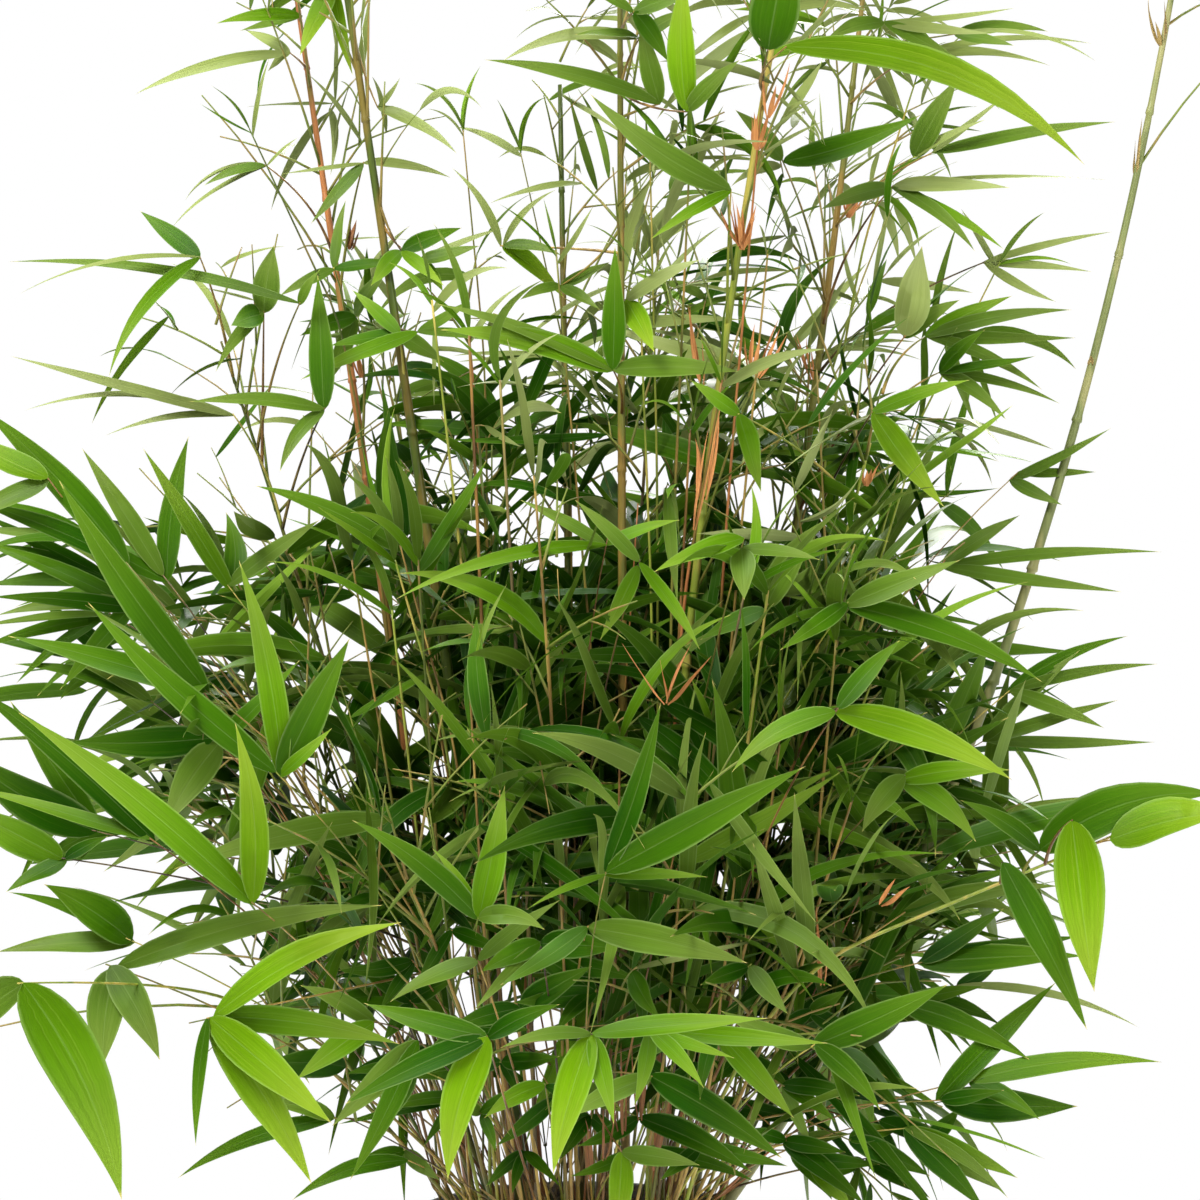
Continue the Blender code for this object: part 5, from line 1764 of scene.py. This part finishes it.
def make_crumbs():
    """Bark chips and lumps lying in the mix: squashed five-sided spindles, turned any way."""
    for name, count, seed, size, colours in CRUMBS:
        rng = np.random.default_rng(seed)
        r = (soil_high[0] - CRUMB_EDGE) * np.sqrt(rng.uniform(0, 1, count))
        turn = rng.uniform(0, 2 * np.pi, count)
        centre = np.stack([r * np.cos(turn), r * np.sin(turn), np.zeros(count)], axis=-1)
        centre[:, 2] = soil_height(centre[:, 0], centre[:, 1]) + CRUMB_RISE
        way = unit(rng.normal(0, 1, (count, 3)) * (1, 1, 0.3))
        level, upward = across(way)
        long = size * rng.uniform(*CRUMB_LENGTHS, count)[:, None]
        run = long * way
        wide = long * rng.uniform(*CRUMB_WIDTHS, (count, CRUMB_SIDES))
        spoke = on_circle(evenly(CRUMB_SIDES), level[:, None], -0.5 * upward[:, None])
        ring = wide[..., None] * spoke
        low = (centre - 0.3 * run)[:, None] + ring
        high = (centre + 0.35 * run)[:, None] + 0.8 * ring
        forms = closed_forms(np.stack([low, high], axis=1), centre - 0.5 * run, centre + 0.55 * run)
        finish = crumb_finish(name.replace("_", " "), *colours)
        add_piece(name, forms, (finish,), sharp=30)


# ================================================================ sheaths


SHEATH_STRAY = 0.4
SHEATH_LEANS = (0.5, 1.4)
SHEATH_LENGTHS, SHEATH_WIDTHS = (0.6, 1.25), (0.7, 1.2)
SHEATH_FOLDS = (0.3, 0.7)
SHEATH_TWIST, SHEATH_BOW = 0.25, 0.03
SHEATH_HOLD = 0.7  # of the cane's radius, where a sheath starts


def sheath_blades(centre, way, radius, count, length, spread, width, rng):
    """Narrow blades round a cane, leaning from it by the spread."""
    first_turn = rng.uniform(0, 2 * np.pi)
    stray = rng.uniform(-SHEATH_STRAY, SHEATH_STRAY, count)
    turn = first_turn + evenly(count) + stray
    radial = on_circle(turn, *across(way[None]))
    out = unit(on_circle(np.radians(rng.uniform(*SHEATH_LEANS, count) * spread), way, radial))
    size = length * rng.uniform(*SHEATH_LENGTHS, count)
    # The blade's face looks along the cross product of the cane and the radial direction
    level, upward = across(out)
    sideways = np.cross(way, radial)
    roll = np.arctan2((sideways * upward).sum(1), (sideways * level).sum(1))
    none = np.zeros(count)
    return Leaves(
        centre + radial * radius * SHEATH_HOLD, out, roll, size,
        width * rng.uniform(*SHEATH_WIDTHS, count), none, rng.uniform(*SHEATH_FOLDS, count),
        rng.normal(0, SHEATH_TWIST, count), rng.normal(0, SHEATH_BOW, count), none, none,
    )


SHEATHS = (
    ("orange", tint(204, 144, 80), tint(156, 96, 46)),
    ("straw", tint(164, 142, 82), tint(112, 90, 46)),
    ("brown", tint(146, 94, 46), tint(92, 60, 28)),
)
SHEATH_SEED = 41
FAN_RADIUS = 0.0015
FAN_NARROWING = 0.6
SHEATH_HIGHEST = 0.22  # the share of a cane under which its dry sheaths sit
FAN_FORWARD = -0.12
DRY_LENGTHS, DRY_SPREAD = (0.012, 0.036), 12


def make_sheaths(thicket):
    """The front's fans, and dry sheaths low on all canes, by kind."""
    rng = np.random.default_rng(SHEATH_SEED)
    bundles = {kind: [] for kind, _, _ in SHEATHS}
    for fan in FANS:
        lean = math.radians(fan.lean)
        way = unit(np.array([math.sin(lean), FAN_FORWARD, math.cos(lean)]))
        width = FAN_WIDTH * min(1.0, (WIDE_TO / fan.length) ** FAN_NARROWING)
        bundles[fan.kind].append(
            sheath_blades(
                fan_base(fan), way, FAN_RADIUS, fan.count, fan.length, fan.spread, width, rng
            )
        )
    for cane in [*CANES, *thicket]:
        for _ in range(2 if cane in CANES else 1):
            share = np.array([rng.uniform(0.0, SHEATH_HIGHEST)])
            kind = "straw" if rng.uniform() < 0.5 else "brown"
            place, way = cane_points(cane, share)[0], cane_ways(cane, share)[0]
            count, length = int(rng.integers(2, 4)), rng.uniform(*DRY_LENGTHS)
            bundles[kind].append(
                sheath_blades(
                    place, way, cane.radius * 1.1, count, length, DRY_SPREAD, SHEATH_WIDTH, rng
                )
            )
    for kind, body, shade in SHEATHS:
        forms, blade_map = leaf_forms(stack(bundles[kind]))
        finish = sheath_finish(f"{kind} sheath", body, shade)
        add_piece(f"{kind}_sheaths", forms, (finish,), blade_map=blade_map, sharp=50)


# ================================================================ light, floor and camera


def make_view():
    """The camera, level and looking along +Y."""
    camera = bpy.data.cameras.new("view")
    camera.sensor_width = VIEW_SENSOR
    camera.lens = VIEW_LENS
    camera.clip_end = 50.0
    placed = bpy.data.objects.new("view", camera)
    placed.location = VIEW_PLACE
    placed.rotation_euler = (math.radians(90), 0.0, 0.0)
    bpy.context.scene.collection.objects.link(placed)
    bpy.context.scene.camera = placed


def area_light(name, place, aim, size, power):
    """A round white lamp at a place, turned to face the aim."""
    light = bpy.data.lights.new(name, "AREA")
    light.shape = "DISK"
    light.size = size
    light.energy = power
    placed = bpy.data.objects.new(name, light)
    placed.location = place
    run = np.array(aim) - np.array(place)
    placed.rotation_euler = (
        math.pi / 2 + math.atan2(run[2], math.hypot(run[0], run[1])),
        0.0,
        math.atan2(run[1], run[0]) - math.pi / 2,
    )
    bpy.context.scene.collection.objects.link(placed)


DOME_LOW, DOME_HIGH = 0.30, 0.95  # how strong the room's light is level with the plant and overhead
DOME_FROM, DOME_TO = -0.2, 0.9
WHITE = (1.0, 1.0, 1.0, 1.0)
MIDDLE = (0.0, 0.0, 0.55)
HIGH_MIDDLE = (0.0, 0.0, 0.6)


def make_light():
    """Three lamps, and a room that is brighter overhead and shows as plain white."""
    area_light("key", (-1.1, -1.6, 2.5), MIDDLE, 1.3, 150)
    area_light("fill", (1.7, -1.9, 1.1), MIDDLE, 1.6, 34)
    area_light("back", (0.6, 1.9, 2.3), HIGH_MIDDLE, 1.4, 150)
    world = bpy.data.worlds.new("studio")
    bpy.context.scene.world = world
    world.use_nodes = True
    nodes, link = world.node_tree.nodes, world.node_tree.links.new
    background = nodes["Background"]
    where = nodes.new("ShaderNodeTexCoord")
    split = nodes.new("ShaderNodeSeparateXYZ")
    dome = nodes.new("ShaderNodeMapRange")
    dome.interpolation_type = "SMOOTHSTEP"
    for socket, value in enumerate((DOME_FROM, DOME_TO, DOME_LOW, DOME_HIGH), 1):
        dome.inputs[socket].default_value = value
    backdrop = nodes.new("ShaderNodeBackground")
    backdrop.inputs["Strength"].default_value = 1.0
    for lit in (background, backdrop):
        lit.inputs["Color"].default_value = WHITE
    path = nodes.new("ShaderNodeLightPath")
    blend = nodes.new("ShaderNodeMixShader")
    for output, socket in (
        (where.outputs["Generated"], split.inputs[0]),
        (split.outputs[2], dome.inputs[0]),
        (dome.outputs[0], background.inputs["Strength"]),
        (path.outputs["Is Camera Ray"], blend.inputs[0]),
        (background.outputs[0], blend.inputs[1]),
        (backdrop.outputs[0], blend.inputs[2]),
        (blend.outputs[0], nodes["World Output"].inputs["Surface"]),
    ):
        link(output, socket)
    bpy.context.scene.view_settings.view_transform = "Standard"


FLOOR_HALF = 4.0
FLOOR_DROP = 0.0005


def make_floor():
    """A pale floor that shows shadows near the pot and fades into the white round it."""
    finish = Finish("floor", 0.8, Base_Color=(0.86, 0.86, 0.86, 1.0))
    place = finish.node("ShaderNodeSeparateXYZ", None, {0: finish.place()})
    x, y = Reading(finish, place.outputs[0]), Reading(finish, place.outputs[1])
    away = (x * x + y * y) ** 0.5
    looked_at = Reading(finish, finish.node("ShaderNodeLightPath").outputs["Is Camera Ray"])
    white = finish.node("ShaderNodeEmission", None, {"Color": (1.0, 1.0, 1.0), "Strength": 1.0})
    finish.cover(away.eased(0.25, 0.75) * looked_at, white)
    mesh = bpy.data.meshes.new("floor")
    corners = [(x * FLOOR_HALF, y * FLOOR_HALF, 0) for x, y in ((-1, -1), (1, -1), (1, 1), (-1, 1))]
    mesh.from_pydata(corners, [], [(0, 1, 2, 3)])
    mesh.materials.append(finish.material)
    floor = bpy.data.objects.new("floor", mesh)
    floor.location.z = -FLOOR_DROP
    bpy.context.scene.collection.objects.link(floor)
    floor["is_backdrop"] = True


# ================================================================ the whole scene

make_view()
make_light()
make_floor()
make_pot()
make_soil()
make_crumbs()
thicket = thicket_canes()
shoot_forms_by_skin, front_leaves, front_tones, front_lines, front_widths = front_shoots()
plant_boughs, plant_twigs, plant_leaves, cane_tops = grow(thicket, front_lines, front_widths)
make_culms(thicket, shoot_forms_by_skin, cane_tops)
make_twigs(plant_boughs, plant_twigs)
make_leaves(plant_leaves, front_leaves, front_tones)
make_sheaths(thicket)
